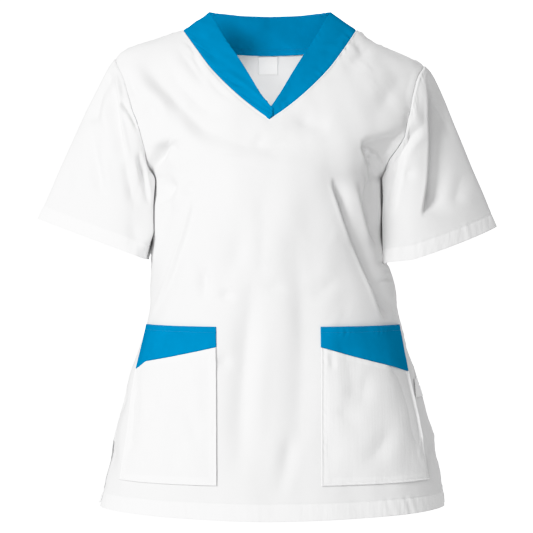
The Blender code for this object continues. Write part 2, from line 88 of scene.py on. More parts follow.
# Half widths of the body to the wearer's right and left, and its depths before and behind y = 0.
BODY_COLUMNS = ("z", "right", "left", "front", "back")
BODY = (
    (-0.678, 0.2430, 0.2475, 0.137, 0.128),
    (-0.639, 0.2335, 0.2428, 0.136, 0.127),
    (-0.582, 0.2229, 0.2329, 0.135, 0.125),
    (-0.525, 0.2087, 0.2187, 0.134, 0.120),
    (-0.480, 0.1960, 0.2045, 0.132, 0.113),
    (-0.446, 0.1832, 0.1931, 0.131, 0.106),
    (-0.412, 0.1732, 0.1846, 0.130, 0.099),
    (-0.383, 0.1690, 0.1796, 0.130, 0.095),
    (-0.355, 0.1676, 0.1728, 0.132, 0.092),
    (-0.325, 0.1676, 0.1645, 0.135, 0.094),
    (-0.290, 0.1676, 0.1610, 0.140, 0.099),
    (-0.250, 0.1670, 0.1600, 0.143, 0.107),
    (-0.215, 0.1640, 0.1605, 0.140, 0.113),
    (-0.190, 0.1790, 0.1745, 0.134, 0.117),
    (-0.170, 0.1900, 0.1960, 0.128, 0.118),
    (-0.154, 0.2010, 0.2110, 0.121, 0.117),
    (-0.134, 0.2130, 0.2190, 0.113, 0.115),
    (-0.114, 0.2230, 0.2250, 0.105, 0.113),
    (-0.090, 0.2260, 0.2260, 0.094, 0.108),
    (-0.060, 0.2245, 0.2235, 0.073, 0.099),
    (-0.048, 0.2215, 0.2150, 0.064, 0.094),
    (-0.037, 0.2160, 0.1931, 0.055, 0.088),
    (-0.026, 0.2016, 0.1680, 0.046, 0.080),
    (-0.014, 0.1661, 0.1420, 0.038, 0.069),
    (-0.004, 0.1370, 0.1300, 0.032, 0.060),
    (0.000, 0.1235, 0.1225, 0.030, 0.056),
    (0.010, 0.0900, 0.0900, 0.024, 0.048),
)

NECKLINE_COLUMNS = ("x", "z")
NECKLINE = (
    (0.000, -0.135),
    (0.018, -0.1225),
    (0.045, -0.100),
    (0.081, -0.062),
    (0.1035, -0.030),
)

# The free edge of the neck band from the V round to the centre back.
BAND_EDGE_COLUMNS = ("knot", "x", "y", "z")
BAND_EDGE = (
    (0, 0.0000, -0.1085, -0.1200),
    (1, 0.0135, -0.1000, -0.0990),
    (2, 0.0285, -0.0835, -0.0725),
    (3, 0.0445, -0.0640, -0.0450),
    (4, 0.0610, -0.0400, -0.0190),
    (5, 0.0785, -0.0130, 0.0135),
    (6, 0.0865, 0.0080, 0.0275),
    (7, 0.0800, 0.0300, 0.0300),
    (8, 0.0620, 0.0480, 0.0306),
    (9, 0.0380, 0.0600, 0.0300),
    (10, 0.0000, 0.0640, 0.0294),
)
BAND_SIDE_KNOT = 6
LAP_ACROSS = 0.0035
LAP_CORNER_SHARE = 0.3
LAP_CORNER_BACK = 0.2
LAP_FORWARD = 0.0024
LAP_UP = -0.0006
LAP_DOWN = 0.0020
LAP_RUN_SHARE = 0.07
BAND_EDGE_STITCH = 0.0020
BAND_SEAM_STITCH = 0.0070

ARMHOLE_REACH = {"front": 0.062, "back": 0.058}
ARMHOLE_SQUARENESS = {"right": 1.3, "left": 0.9}
ARMHOLE_DROP = 0.2

SLEEVE_COLUMNS = ("outer_x", "outer_z", "inner_x", "inner_z", "depth", "front_drop")
SLEEVES = {
    "right": (-0.3309, -0.2670, -0.1735, -0.3250, 0.114, 0.000),
    "left": (0.3223, -0.2783, 0.1680, -0.3250, 0.114, 0.010),
}
SLEEVE_AXIS_TOP_X = 0.190
SLEEVE_AXIS_TOP_Z = -0.130
SLEEVE_AXIS_LOW_Z = -0.300
SLEEVE_GAP_ALONG = 0.0003
SLEEVE_GAP_ACROSS = 0.0007
SLEEVE_STAND = 0.0085
SLEEVE_STAND_RUN = 0.05
SLEEVE_BODY_GAP = 0.0008
# How far the sleeve shows beside the body below the armhole and at the hem, seen from the front.
SLEEVE_SLIT = {"right": (-0.0065, -0.0040), "left": (-0.0072, -0.0050)}
# A sleeve's section is fullest near its inner side, and falls away to its outer one.
SLEEVE_INNER_POWER = 0.20
SLEEVE_OUTER_POWER = 0.75
SLEEVE_FULLNESS = 1.63
# The share of the sleeve's length at which its inner side starts to leave the body.
SLEEVE_LEAVES = {"right": 0.70, "left": 1.0}

# Pockets, seen from the front: a white bag below a blue top.
POCKET_TOP_Z = -0.416
JOIN_BEND = {"right": 0.0070, "left": 0.0006}
JOIN_BEND_SHARE = 0.86
POCKET_BOTTOM_Z = -0.629
POCKET_COLUMNS = ("inner_x", "join_in_z", "join_out_x", "join_out_z", "mouth_out_x", "bottom_out_x")
POCKETS = {
    "right": (-0.0717, -0.4435, -0.1845, -0.478, -0.1708, -0.2070),
    "left": (0.0680, -0.4435, 0.1913, -0.480, 0.1807, 0.2181),
}

LABEL_X = (-0.0175, 0.0120)
LABEL_Z = (-0.0505, -0.0262)
TAG_X = 0.200
TAG_Z = (-0.517, -0.4915)

# The camera, which also sets where a crease seen from the front lies on the cloth.
CAMERA_X = -0.005
CAMERA_Y = -2.3
CAMERA_Z = -0.335
LENS_MM = 109.4
SENSOR_MM = 36.0

# ---------------------------------------------------------------------------------------------
# Creases, in millimetres. A path is a run of (across, up) points on the upright plane through the
# shoulders, as the camera sees it. Depth is how far the cloth goes in. Before and after are the
# widths of its slopes on the two sides: on a path that runs down, after is the wearer's left. Lips
# are the ridges beside it, as shares of the depth. Fade is the share that each end dies out over.
# ---------------------------------------------------------------------------------------------

CREASE_COLUMNS = ("depth", "before", "after", "lip_before", "lip_after", "fade", "path", "slide")

FRONT_CREASES = (
    # From the right shoulder down to the bust
    (16.0, 12, 24, 0.30, 0.0, 0.45,
     ((-194, -34), (-172, -54), (-148, -82), (-118, -115), (-92, -138), (-62, -150))),
    (7.0, 11, 14, 0.2, 0.2, 0.45, ((-158, -26), (-142, -52), (-118, -82), (-90, -108), (-56, -128))),
    (4.4, 9, 10, 0.2, 0.2, 0.45, ((-140, -18), (-116, -44), (-96, -72), (-72, -98))),
    (5.0, 8, 9, 0.2, 0.2, 0.45, ((-208, -52), (-198, -80), (-186, -106))),
    (4.6, 9, 10, 0.2, 0.2, 0.45, ((-174, -86), (-167, -112), (-168, -136))),
    (4.0, 10, 12, 0.2, 0.1, 0.45, ((-150, -104), (-136, -128), (-118, -146))),
    # Puckers along the right side of the neckline
    (2.0, 3, 5, 0.3, 0.3, 0.45, ((-128, -12), (-112, -24), (-98, -50))),
    (1.8, 3, 4, 0.3, 0.3, 0.45, ((-124, -22), (-106, -42), (-88, -72))),
    (1.5, 4, 4, 0.3, 0.3, 0.45, ((-92, -62), (-74, -84), (-52, -100))),
    # The hollow before the right underarm
    (16.0, 5, 10, 0.10, 0.10, 0.32,
     ((-128, -172), (-138, -164), (-149, -162), (-159, -169), (-164, -184), (-165, -206)), 1.5),
    (12.0, 9, 10, 0.1, 0.2, 0.45, ((-138, -204), (-147, -224), (-158, -250))),
    (5.0, 7, 8, 0.1, 0.1, 0.45, ((-117, -212), (-116, -236))),
    # The French dart at the right side, and the line beside it
    (3.6, 2.4, 9, 0.45, 0.1, 0.18,
     ((-106, -232), (-114, -260), (-122, -290), (-132, -320), (-142, -351), (-153, -381),
      (-167, -414)), 0.8),
    (3.6, 5, 7, 0.4, 0.0, 0.35, ((-139, -236), (-151, -273), (-160, -304))),
    # From the left shoulder towards the underarm
    (5.0, 18, 18, 0.0, 0.10, 0.45, ((204, -44), (188, -66), (170, -90), (156, -112), (142, -134))),
    (3.0, 8, 10, 0.2, 0.2, 0.45, ((148, -18), (124, -40), (102, -60))),
    (1.6, 4, 6, 0.3, 0.3, 0.45, ((118, -12), (124, -22), (134, -26))),
    # The hollow before the left underarm: its sharp tip, its soft upper side and the folds below it
    (8.5, 7, 20, 0.0, 0.0, 0.28,
     ((220, -140), (202, -146), (180, -151), (156, -157), (141, -160), (134, -166), (134, -180))),
    (5.0, 2.6, 13, 0.1, 0.0, 0.32,
     ((146, -155), (138, -157), (133, -162), (134, -172), (138, -184), (143, -198)), 2.0),
    (7.5, 15, 10, 0.0, 0.0, 0.40, ((200, -158), (182, -170), (166, -182), (154, -194), (148, -208))),
    (7.0, 10, 6, 0.0, 0.0, 0.40, ((148, -172), (150, -198), (151, -228), (152, -260))),
    (7.0, 7, 4, 0.1, 0.3, 0.35, ((146, -174), (150, -188), (154, -202), (157, -216))),
    (4.0, 4, 3, 0.2, 0.3, 0.40, ((154, -180), (157, -194), (160, -206))),
    (4.0, 4, 6, 0.3, 0.3, 0.40, ((143, -206), (141, -224), (144, -246))),
    # The two long folds from the left bust to the side, with the raised roll between them
    (12.5, 3.0, 12, 0.10, 0.15, 0.18,
     ((91, -204), (93, -222), (98, -240), (106, -266), (115, -290), (126, -316), (138, -345),
      (150, -373), (160, -398), (168, -416)), 3.0),
    (12.0, 4.0, 11, 0.14, 0.0, 0.32,
     ((126, -212), (132, -236), (138, -261), (144, -282), (150, -300), (154, -312)), 3.0),
    (2.0, 2.4, 4, 0.5, 0.3, 0.35, ((150, -331), (160, -330), (170, -333))),
    (2.4, 2.4, 4, 0.5, 0.3, 0.35, ((155, -360), (164, -354), (172, -353))),
    (3.0, 4, 5, 0.3, 0.2, 0.40, ((158, -369), (162, -384), (170, -404))),
    (3.4, 4, 5, 0.3, 0.2, 0.40, ((173, -378), (178, -394), (184, -408))),
    # Under the V, across the bust
    (4.6, 12, 14, 0.1, 0.1, 0.45, ((-102, -132), (-57, -156), (-18, -164), (27, -160), (65, -138))),
    (4.0, 10, 12, 0.1, 0.1, 0.45, ((30, -118), (58, -132), (88, -136))),
    (2.6, 6, 8, 0.1, 0.1, 0.45, ((-8, -140), (-16, -156), (-30, -164))),
    # Long soft troughs down the middle
    (8.0, 16, 13, 0.10, 0.15, 0.40,
     ((-24, -320), (-27, -375), (-34, -450), (-40, -540), (-43, -602), (-54, -664))),
    (5.5, 16, 20, 0.1, 0.1, 0.40,
     ((28, -250), (36, -300), (44, -366), (46, -470), (42, -560), (38, -668))),
    (2.4, 10, 14, 0.15, 0.1, 0.40, ((-8, -206), (-10, -260), (-12, -320), (-10, -380))),
    (2.6, 13, 14, 0.1, 0.1, 0.45, ((-52, -268), (-44, -290), (-48, -322), (-60, -350), (-72, -372))),
    (1.5, 12, 13, 0.1, 0.1, 0.45, ((62, -296), (66, -350), (70, -406))),
    (4.6, 8, 10, 0.2, 0.1, 0.45, ((-104, -316), (-97, -352), (-92, -396))),
    (3.0, 5, 6, 0.2, 0.1, 0.45, ((-94, -330), (-92, -386))),
    (2.0, 10, 11, 0.2, 0.2, 0.45, ((62, -384), (78, -368), (98, -348))),
    (4.0, 8, 9, 0.2, 0.1, 0.45, ((-62, -452), (-66, -470), (-70, -490))),
    (4.0, 8, 8, 0.2, 0.1, 0.45, ((-58, -366), (-66, -386))),
    (2.0, 11, 11, 0.1, 0.1, 0.45, ((-18, -356), (4, -364), (26, -360))),
    (4.4, 12, 9, 0.1, 0.2, 0.45, ((30, -560), (26, -600), (18, -640), (10, -672))),
    # Below the pockets and at the two side edges
    (4.4, 4, 6, 0.3, 0.2, 0.40, ((-216, -520), (-222, -560), (-224, -600), (-228, -640))),
    (4.0, 4, 6, 0.3, 0.2, 0.40, ((-206, -486), (-210, -520), (-216, -556))),
    (3.2, 3, 4, 0.3, 0.3, 0.40, ((219, -560), (223, -590), (222, -620), (228, -648))),
    (2.8, 3, 4, 0.3, 0.3, 0.40, ((214, -574), (216, -600), (221, -616))),
    (2.4, 3, 4, 0.3, 0.3, 0.40, ((204, -470), (209, -500), (212, -530))),
)

# The back's creases, on the upright plane, as seen through from the front.
BACK_CREASES = (
    (6.0, 14, 18, 0.2, 0.1, 0.45, ((-186, -46), (-160, -92), (-128, -134), (-92, -168))),
    (5.6, 14, 16, 0.1, 0.2, 0.45, ((180, -52), (158, -98), (130, -136), (100, -162))),
    (8.5, 5, 11, 0.2, 0.2, 0.35, ((-188, -150), (-168, -186), (-152, -226), (-142, -266)), 1.5),
    (8.5, 9, 5, 0.2, 0.2, 0.35, ((184, -150), (166, -182), (150, -220), (138, -262))),
    (8.0, 4, 12, 0.3, 0.2, 0.26, ((-112, -214), (-120, -262), (-134, -320), (-150, -376)), 2.0),
    (7.0, 11, 5, 0.2, 0.3, 0.26, ((104, -226), (114, -274), (130, -330), (146, -380))),
    (4.6, 12, 12, 0.1, 0.1, 0.45, ((-30, -260), (-38, -340), (-44, -460), (-60, -600))),
    (4.8, 12, 12, 0.1, 0.1, 0.45, ((26, -246), (38, -350), (44, -470), (52, -640))),
    (3.6, 14, 14, 0.1, 0.1, 0.45, ((-96, -420), (-108, -500), (-126, -600), (-134, -670))),
    (3.8, 14, 14, 0.1, 0.1, 0.45, ((100, -430), (116, -520), (132, -610), (140, -672))),
    (5.0, 6, 9, 0.2, 0.2, 0.40, ((-84, -330), (-40, -352), (8, -350), (52, -338)), 1.0),
    (3.8, 6, 8, 0.2, 0.2, 0.45, ((70, -300), (30, -318), (-14, -316))),
    (3.0, 6, 8, 0.2, 0.2, 0.45, ((-60, -372), (-20, -386), (30, -380), (74, -366))),
    (2.6, 8, 9, 0.2, 0.2, 0.45, ((-60, -60), (-30, -84), (10, -92), (52, -78))),
    (2.6, 5, 7, 0.2, 0.2, 0.45, ((-176, -430), (-190, -500), (-204, -580))),
    (2.6, 7, 5, 0.2, 0.2, 0.45, ((180, -440), (196, -520), (210, -600))),
)

# The sleeves' creases on their front halves, then on their back halves.
SLEEVE_CREASES = {
    "right": (
        (7.0, 6, 9, 0.3, 0.45, 0.22,
         ((-228, -50), (-236, -78), (-243, -98), (-249, -116), (-254, -136))),
        (7.0, 7, 8, 0.1, 0.40, 0.35,
         ((-254, -132), (-252, -158), (-249, -184), (-243, -214), (-236, -246))),
        (7.5, 8, 3.4, 0.40, 0.40, 0.26,
         ((-224, -56), (-221, -80), (-219, -106), (-216, -133), (-211, -160), (-204, -190)), 0.0),
        (5.0, 7, 8, 0.2, 0.2, 0.40, ((-209, -174), (-203, -204), (-196, -234), (-193, -256))),
        (6.0, 4, 5, 0.45, 0.30, 0.30,
         ((-219, -98), (-210, -102), (-199, -114), (-190, -130), (-183, -146))),
        (5.0, 5, 2.6, 0.2, 0.45, 0.30, ((-187, -166), (-182, -192), (-176, -224), (-171, -252))),
        (3.4, 8, 8, 0.2, 0.2, 0.45, ((-196, -268), (-192, -290), (-186, -316))),
        (2.4, 9, 9, 0.1, 0.1, 0.45, ((-284, -180), (-288, -214), (-292, -250))),
        (2.2, 9, 9, 0.1, 0.1, 0.45, ((-268, -230), (-270, -262))),
    ),
    "left": (
        (21.0, 3.2, 24, 0.04, 0.0, 0.20,
         ((224, -54), (227, -76), (229, -100), (230, -128), (230, -156), (229, -184), (227, -213),
          (223, -240), (218, -268)), 2.6),
        (9.0, 11, 6, 0.1, 0.12, 0.24,
         ((222, -128), (208, -144), (196, -156), (185, -173), (179, -200), (173, -228), (167, -272))),
        (1.4, 4, 6, 0.3, 0.2, 0.45, ((212, -72), (211, -96), (213, -128))),
        (1.4, 6, 6, 0.2, 0.2, 0.45, ((218, -88), (219, -112), (221, -140))),
        (2.4, 8, 9, 0.1, 0.1, 0.45, ((196, -190), (194, -216))),
        (2.8, 9, 9, 0.1, 0.2, 0.45, ((252, -106), (256, -132), (262, -156))),
        (2.6, 9, 9, 0.1, 0.1, 0.45, ((276, -196), (270, -226), (262, -256))),
    ),
}
SLEEVE_BACK_CREASES = {
    "right": (
        (10.0, 4, 11, 0.3, 0.3, 0.24, ((-222, -64), (-226, -110), (-232, -160), (-236, -216)), 2.0),
        (7.0, 6, 8, 0.2, 0.3, 0.35, ((-206, -112), (-200, -160), (-196, -214), (-192, -256))),
        (4.6, 8, 8, 0.2, 0.2, 0.40, ((-250, -110), (-262, -166), (-268, -226))),
        (3.6, 8, 8, 0.2, 0.2, 0.40, ((-224, -216), (-226, -262), (-232, -296))),
    ),
    "left": (
        (9.5, 10, 4, 0.3, 0.3, 0.24, ((218, -70), (222, -118), (226, -170), (228, -226))),
        (7.2, 8, 6, 0.3, 0.2, 0.35, ((202, -118), (196, -164), (190, -220), (184, -262))),
        (4.4, 8, 8, 0.2, 0.2, 0.40, ((246, -116), (256, -170), (264, -234))),
        (3.4, 8, 8, 0.2, 0.2, 0.40, ((214, -214), (212, -262), (206, -300))),
    ),
}

# The pockets' own creases, over those of the front that they lie on.
POCKET_CREASES = {
    "right": (
        (3.0, 9, 10, 0.2, 0.2, 0.45, ((-136, -476), (-122, -486), (-106, -490))),
        (2.6, 8, 9, 0.2, 0.2, 0.45, ((-168, -494), (-166, -530), (-160, -570))),
        (3.4, 5, 9, 0.3, 0.2, 0.35, ((-184, -492), (-190, -530), (-193, -570), (-198, -610))),
        (2.4, 9, 9, 0.1, 0.1, 0.45, ((-128, -520), (-110, -560), (-102, -600))),
        (2.0, 4, 5, 0.2, 0.2, 0.45, ((-182, -596), (-179, -612), (-178, -626))),
    ),
    "left": (
        (1.8, 3, 5, 0.4, 0.2, 0.35, ((86, -450), (87, -468), (88, -486))),
        (1.6, 10, 12, 0.2, 0.2, 0.45, ((92, -530), (108, -546), (130, -556))),
        (1.6, 9, 10, 0.2, 0.2, 0.45, ((112, -470), (118, -500), (116, -530))),
        (1.8, 9, 9, 0.2, 0.2, 0.45, ((138, -470), (134, -510), (128, -540))),
        (4.8, 13, 9, 0.1, 0.1, 0.35,
         ((172, -446), (186, -480), (197, -520), (205, -560), (207, -596), (205, -616))),
        (2.4, 5, 4, 0.2, 0.2, 0.40, ((166, -452), (174, -472), (180, -494))),
        (1.8, 10, 10, 0.2, 0.2, 0.45, ((170, -550), (162, -580), (146, -604), (122, -616))),
    ),
}

# The neck band's creases beside its seam, its ends and its shoulder points.
BAND_CREASES = (
    (0.7, 2.4, 4, 0.4, 0.3, 0.40, ((-60, -72), (-48, -76), (-36, -77))),
    (0.8, 2.4, 4, 0.4, 0.3, 0.40, ((-42, -90), (-32, -93), (-20, -94))),
    (0.7, 2.4, 3, 0.4, 0.3, 0.40, ((-30, -99), (-20, -102), (-11, -103))),
    (0.7, 3, 4, 0.4, 0.3, 0.40, ((30, -94), (20, -100), (10, -106))),
    (0.8, 4, 5, 0.3, 0.3, 0.45, ((-112, -8), (-98, -10), (-88, -14))),
    (0.8, 4, 5, 0.3, 0.3, 0.45, ((-96, -32), (-84, -34), (-74, -42))),
    (0.7, 3, 4, 0.3, 0.3, 0.45, ((-80, -54), (-66, -56), (-56, -62))),
    (1.0, 4, 5, 0.3, 0.3, 0.45, ((108, -2), (94, -12), (74, -18))),
    (0.9, 4, 5, 0.3, 0.3, 0.45, ((104, -22), (84, -28), (66, -30))),
    (0.9, 4, 5, 0.3, 0.3, 0.45, ((90, -44), (72, -50), (54, -50))),
    (0.8, 3, 4, 0.3, 0.3, 0.45, ((70, -68), (54, -70), (40, -74))),
)

# ---------------------------------------------------------------------------------------------
# Grids. Each stop is a place in metres along an edge, and the length of the cells there.
# ---------------------------------------------------------------------------------------------

# Across half a panel: first what ends at the neckline, then what ends at the shoulder seam.
HALF_WIDTH = 0.270
TURN_SHARE = 2 / 3
NECK_STOPS = ((0.0, 0.0046), (0.080, 0.0044), (0.092, 0.0021), (0.180, 0.0021))
SHOULDER_STOPS = (
    (0.180, 0.0021), (0.215, 0.0022), (0.240, 0.0028), (0.262, 0.0022), (0.2675, 0.0009), (0.270, 0.0007)
)
# Up a panel: from the hem to the underarm, then from there to the top.
LOW_STOPS = (
    (0.0, 0.0012), (0.003, 0.003), (0.021, 0.0028), (0.0235, 0.0008), (0.0250, 0.0008),
    (0.028, 0.0028), (0.108, 0.0030), (0.135, 0.0056), (0.225, 0.0054), (0.262, 0.003), (0.300, 0.0027),
    (0.463, 0.0026),
)
HIGH_LENGTH = 0.200
HIGH_STOPS = ((0.0, 0.0026), (0.05, 0.0031), (0.180, 0.0031), (0.1965, 0.0016), (0.200, 0.0008))
# Round a sleeve, front half then back half, and up it from its hem.
SLEEVE_GIRTH = 0.40
SLEEVE_ROUND_STOPS = ((0.0, 0.0026), (0.02, 0.0014), (0.19, 0.0014), (0.21, 0.0026), (0.40, 0.0030))
SLEEVE_LENGTH = 0.235
SLEEVE_UP_STOPS = (
    (0.0, 0.0012), (0.003, 0.0026), (0.017, 0.0024), (0.0195, 0.0008), (0.021, 0.0008),
    (0.024, 0.0022), (0.220, 0.0022), (0.232, 0.0012), (0.235, 0.0007),
)
BAND_COLUMNS = 400
BAND_UP_STOPS = (
    (0.0, 0.0007), (0.002, 0.0012), (0.006, 0.0016), (0.008, 0.0012), (0.040, 0.0022), (0.046, 0.0009)
)
BAND_DEPTH = 0.046
POCKET_ACROSS_STOPS = (
    (0.0, 0.0007), (0.003, 0.0010), (0.006, 0.0022), (0.132, 0.0022), (0.135, 0.0010), (0.138, 0.0007)
)
POCKET_UP_STOPS = (
    (0.0, 0.0007), (0.003, 0.0010), (0.006, 0.0024), (0.176, 0.0024), (0.182, 0.0010)
)
TOP_UP_STOPS = (
    (0.0, 0.0010), (0.006, 0.0022), (0.028, 0.0020), (0.031, 0.0008), (0.033, 0.0008),
    (0.036, 0.0016), (0.040, 0.0007),
)
TRIM_CELLS = 14
TUCK_REACH = 0.0018
TUCK_DEPTH = 0.0008
PUFF_RUN = 0.030
POCKET_STAND = 0.0008
# How far the pockets' stitches lie from their edges, and the tops' stitches from the mouth.
POCKET_STITCH = 0.0030
TOP_STITCHES = (0.0016, 0.0080)


def length_property(name, description, default, low, high):
    return FloatProperty(
        name=name, description=description, default=default, min=low, max=high, precision=4,
        unit="LENGTH",
    )


def colour_property(name, description, default):
    return FloatVectorProperty(
        name=name, description=description, default=default, min=0, max=1, subtype="COLOR"
    )


class TunicSizes(PropertyGroup):
    """Sizes that a user may change."""

    cloth: length_property("Cloth", "Thickness of the single cloth as modelled", 0.0009, 0.0003, 0.002)
    hem_cloth: length_property("Hem", "Thickness of the turned-up hems", 0.0018, 0.0005, 0.003)
    pocket_cloth: length_property(
        "Pocket cloth", "Thickness of the pockets' white cloth", 0.0007, 0.0003, 0.002
    )
    band_cloth: length_property(
        "Doubled cloth", "Thickness of the neck band and the pocket tops", 0.0014, 0.0005, 0.003
    )
    label_cloth: length_property("Label", "Thickness of the folded labels", 0.0007, 0.0003, 0.002)
    hem_depth: length_property(
        "Hem depth", "From the body's edge up to its topstitching", 0.024, 0.01, 0.05
    )
    sleeve_hem_depth: length_property(
        "Sleeve hem depth", "From the sleeve's edge up to its topstitching", 0.020, 0.01, 0.05
    )
    crease_strength: FloatProperty(
        name="Creases", description="How deep the creases are, against those of the tables",
        default=1.0, min=0.0, max=1.5, subtype="FACTOR",
    )
    pucker_depth: length_property(
        "Puckers", "Depth of the puckers along seams and hems", 0.0006, 0.0, 0.002
    )
    stitch_length: length_property("Stitch", "Length of one topstitch", 0.0024, 0.001, 0.005)
    stitch_pitch: length_property(
        "Stitch pitch", "From the start of one topstitch to the next", 0.0031, 0.0012, 0.006
    )
    thread: length_property("Thread", "Thickness of the sewing thread", 0.0004, 0.0001, 0.001)
    seed: IntProperty(
        name="Seed", description="Chooses the pattern of the small unevenness", default=7, min=0
    )


class TunicColours(PropertyGroup):
    """Colours that a user may change."""

    white: colour_property("White cloth", "Colour of the white cloth", (0.93, 0.93, 0.93))
    blue: colour_property("Blue cloth", "Colour of the neck band and pocket tops", (0.0, 0.235, 0.485))
    label: colour_property("Labels", "Colour of the neck label and side tag", (0.95, 0.95, 0.95))
    floor: colour_property("Floor", "Colour of the studio floor", (0.9, 0.9, 0.9))


def sizes():
    return bpy.context.scene.tunic_sizes


def colours():
    return bpy.context.scene.tunic_colours


# ---------------------------------------------------------------------------------------------
# Form
# ---------------------------------------------------------------------------------------------

FINE = np.linspace(0, 1, 481)
SLIDE_RUN = 0.008
SHARP_SLIDE = 1.5
SHARP_PULL = 2.4
SHARP_REACH = 0.007
SHARP_FADE = 0.25
PATCH_ROUNDS = 6
# From where round a sleeve's front its inner side lies on the body, and over what share it leaves.
CONTACT_FROM = 0.80
CONTACT_RUN = 0.14
LEAVING_RUN = 0.3
SEAM_SHARE = 0.1


def soft_step(x):
    x = np.clip(x, 0, 1)
    return x * x * (3 - 2 * x)


def bell(distance, reach):
    """1 at no distance, dying out over the reach."""
    return np.exp(-((distance / reach) ** 2))


def read_at(places, known, values):
    """Each column of the values, which are known at some places, read at others."""
    return np.stack([np.interp(places, known, column) for column in values.T], axis=1)


def smooth_read(columns, rows, column, at):
    """A column's values where the first column is `at`, on a smooth curve through its rows."""
    table = np.array(rows)
    x, y = table[:, 0], table[:, columns.index(column)]
    rise = np.diff(y) / np.diff(x)
    same_way = rise[1:] * rise[:-1] > 0
    mean = 2 * rise[1:] * rise[:-1] / np.where(same_way, rise[1:] + rise[:-1], 1)
    slope = np.concatenate([rise[:1], np.where(same_way, mean, 0), rise[-1:]])
    i = np.clip(np.searchsorted(x, at) - 1, 0, len(x) - 2)
    step = x[i + 1] - x[i]
    t = np.clip((at - x[i]) / step, 0, 1)
    start = (1 + 2 * t) * (1 - t) ** 2 * y[i] + t * (1 - t) ** 2 * step * slope[i]
    end = t * t * (3 - 2 * t) * y[i + 1] - t * t * (1 - t) * step * slope[i + 1]
    return start + end


def body_width(side, z):
    return smooth_read(BODY_COLUMNS, BODY, side, z)


def body_depth(facing, z):
    return smooth_read(BODY_COLUMNS, BODY, facing, z)


def side_sign(side):
    return 1 if side == "left" else -1


def facing_sign(facing):
    return -1 if facing == "front" else 1


def body_excess(points):
    """How far outside the body's section each point is: 0 on the cloth, above 0 outside it."""
    x, y, z = points.T
    width = np.where(x > 0, body_width("left", z), body_width("right", z))
    depth = np.where(y < 0, body_depth("front", z), body_depth("back", z))
    return np.abs(x / width) ** ROUNDNESS + np.abs(y / depth) ** ROUNDNESS - 1


def body_slope(points, step=1e-4):
    moves = np.eye(3) * step
    return np.stack(
        [(body_excess(points + m) - body_excess(points - m)) / (2 * step) for m in moves], axis=1
    )


def body_normals(points):
    """The outward direction of the body's surface at each point."""
    slope = body_slope(points.reshape(-1, 3))
    return (slope / np.linalg.norm(slope, axis=1)[:, None]).reshape(points.shape)


def settle_on_body(points, rounds=8):
    """Moves points near the body's surface onto it, square to it."""
    for _ in range(rounds):
        slope = body_slope(points)
        points = points - slope * (body_excess(points) / (slope**2).sum(axis=1))[:, None]
    return points


def depth_at(facing, side, x, z):
    """The y of the body's surface where it shows at x and z from the front or the back."""
    across = np.clip(np.abs(x) / body_width(side, z), 0, 1)
    reach = body_depth(facing, z) * (1 - across**ROUNDNESS) ** (1 / ROUNDNESS)
    return facing_sign(facing) * reach


def along(curve, shares, values=None):
    """A finely drawn curve's points, or values that they carry, at these shares of its length."""
    steps = np.linalg.norm(np.diff(curve, axis=0), axis=1)
    run = np.concatenate([[0], np.cumsum(steps)]) / steps.sum()
    return read_at(shares, run, curve if values is None else values)


def curve_of(x, y, z):
    return np.stack(np.broadcast_arrays(x, y, z), axis=1).astype(float)


def spaced(stops):
    """Places from the first stop to the last, with cells about as long as the stops say."""
    places, cells = np.array(stops).T
    fine = np.linspace(places[0], places[-1], 4001)
    density = 1 / np.interp(fine, places, cells)
    steps = (density[1:] + density[:-1]) / 2 * np.diff(fine)
    run = np.concatenate([[0], np.cumsum(steps)])
    return np.interp(np.linspace(0, run[-1], round(run[-1]) + 1), run, fine)


def two_runs(first, second, shares, turn=0.5):
    """Points along one curve up to the share `turn`, and along the next one after it."""
    early = along(first, np.minimum(shares / turn, 1))
    late = along(second, np.maximum(shares - turn, 0) / (1 - turn))
    return np.where((shares <= turn)[:, None], early, late)


def centre_line(facing):
    """Up the middle of a panel, from the underarm's height to the neck."""
    top = NECKLINE[0][1] if facing == "front" else BACK_NECK_Z
    z = UNDERARM_Z + (top - UNDERARM_Z) * FINE
    return curve_of(0, facing_sign(facing) * body_depth(facing, z), z)


def seam_half_gap(z):
    """Half of the gap between front and back, which opens down the side slit."""
    opened = np.clip((SLIT_TOP_Z - z) / (SLIT_TOP_Z - HEM_Z), 0, 1)
    return SEAM_GAP / 2 + (SLIT_HALF_GAP - SEAM_GAP / 2) * opened


def body_section(facing, side, z):
    """Across the body at one height, from the middle out to the side seam."""
    turn = FINE * np.pi / 2
    power = 2 / ROUNDNESS
    x = body_width(side, z) * np.sin(turn) ** power
    y = np.maximum(body_depth(facing, z) * np.cos(turn) ** power, seam_half_gap(z))
    return curve_of(side_sign(side) * x, facing_sign(facing) * y, z)


def armhole_edge(facing, side, gap=SEAM_GAP / 2):
    """From the underarm up to the shoulder tip."""
    turn = np.pi * (1 - FINE)
    z = TIP_Z[side] + (UNDERARM_Z - TIP_Z[side]) * (1 - np.cos(turn)) / 2
    reach = ARMHOLE_REACH[facing] * np.sin(turn) ** ARMHOLE_SQUARENESS[side]
    y = np.maximum(reach * (1 - ARMHOLE_DROP * np.cos(turn)), gap)
    forward = (y / body_depth(facing, z)) ** ROUNDNESS
    x = body_width(side, z) * (1 - forward) ** (1 / ROUNDNESS)
    return curve_of(side_sign(side) * x, facing_sign(facing) * y, z)


def shoulder_seam(facing, side):
    """From the neck out to the shoulder tip."""
    z = TIP_Z[side] * FINE
    y = facing_sign(facing) * SEAM_GAP / 2
    return curve_of(side_sign(side) * body_width(side, z), y, z)


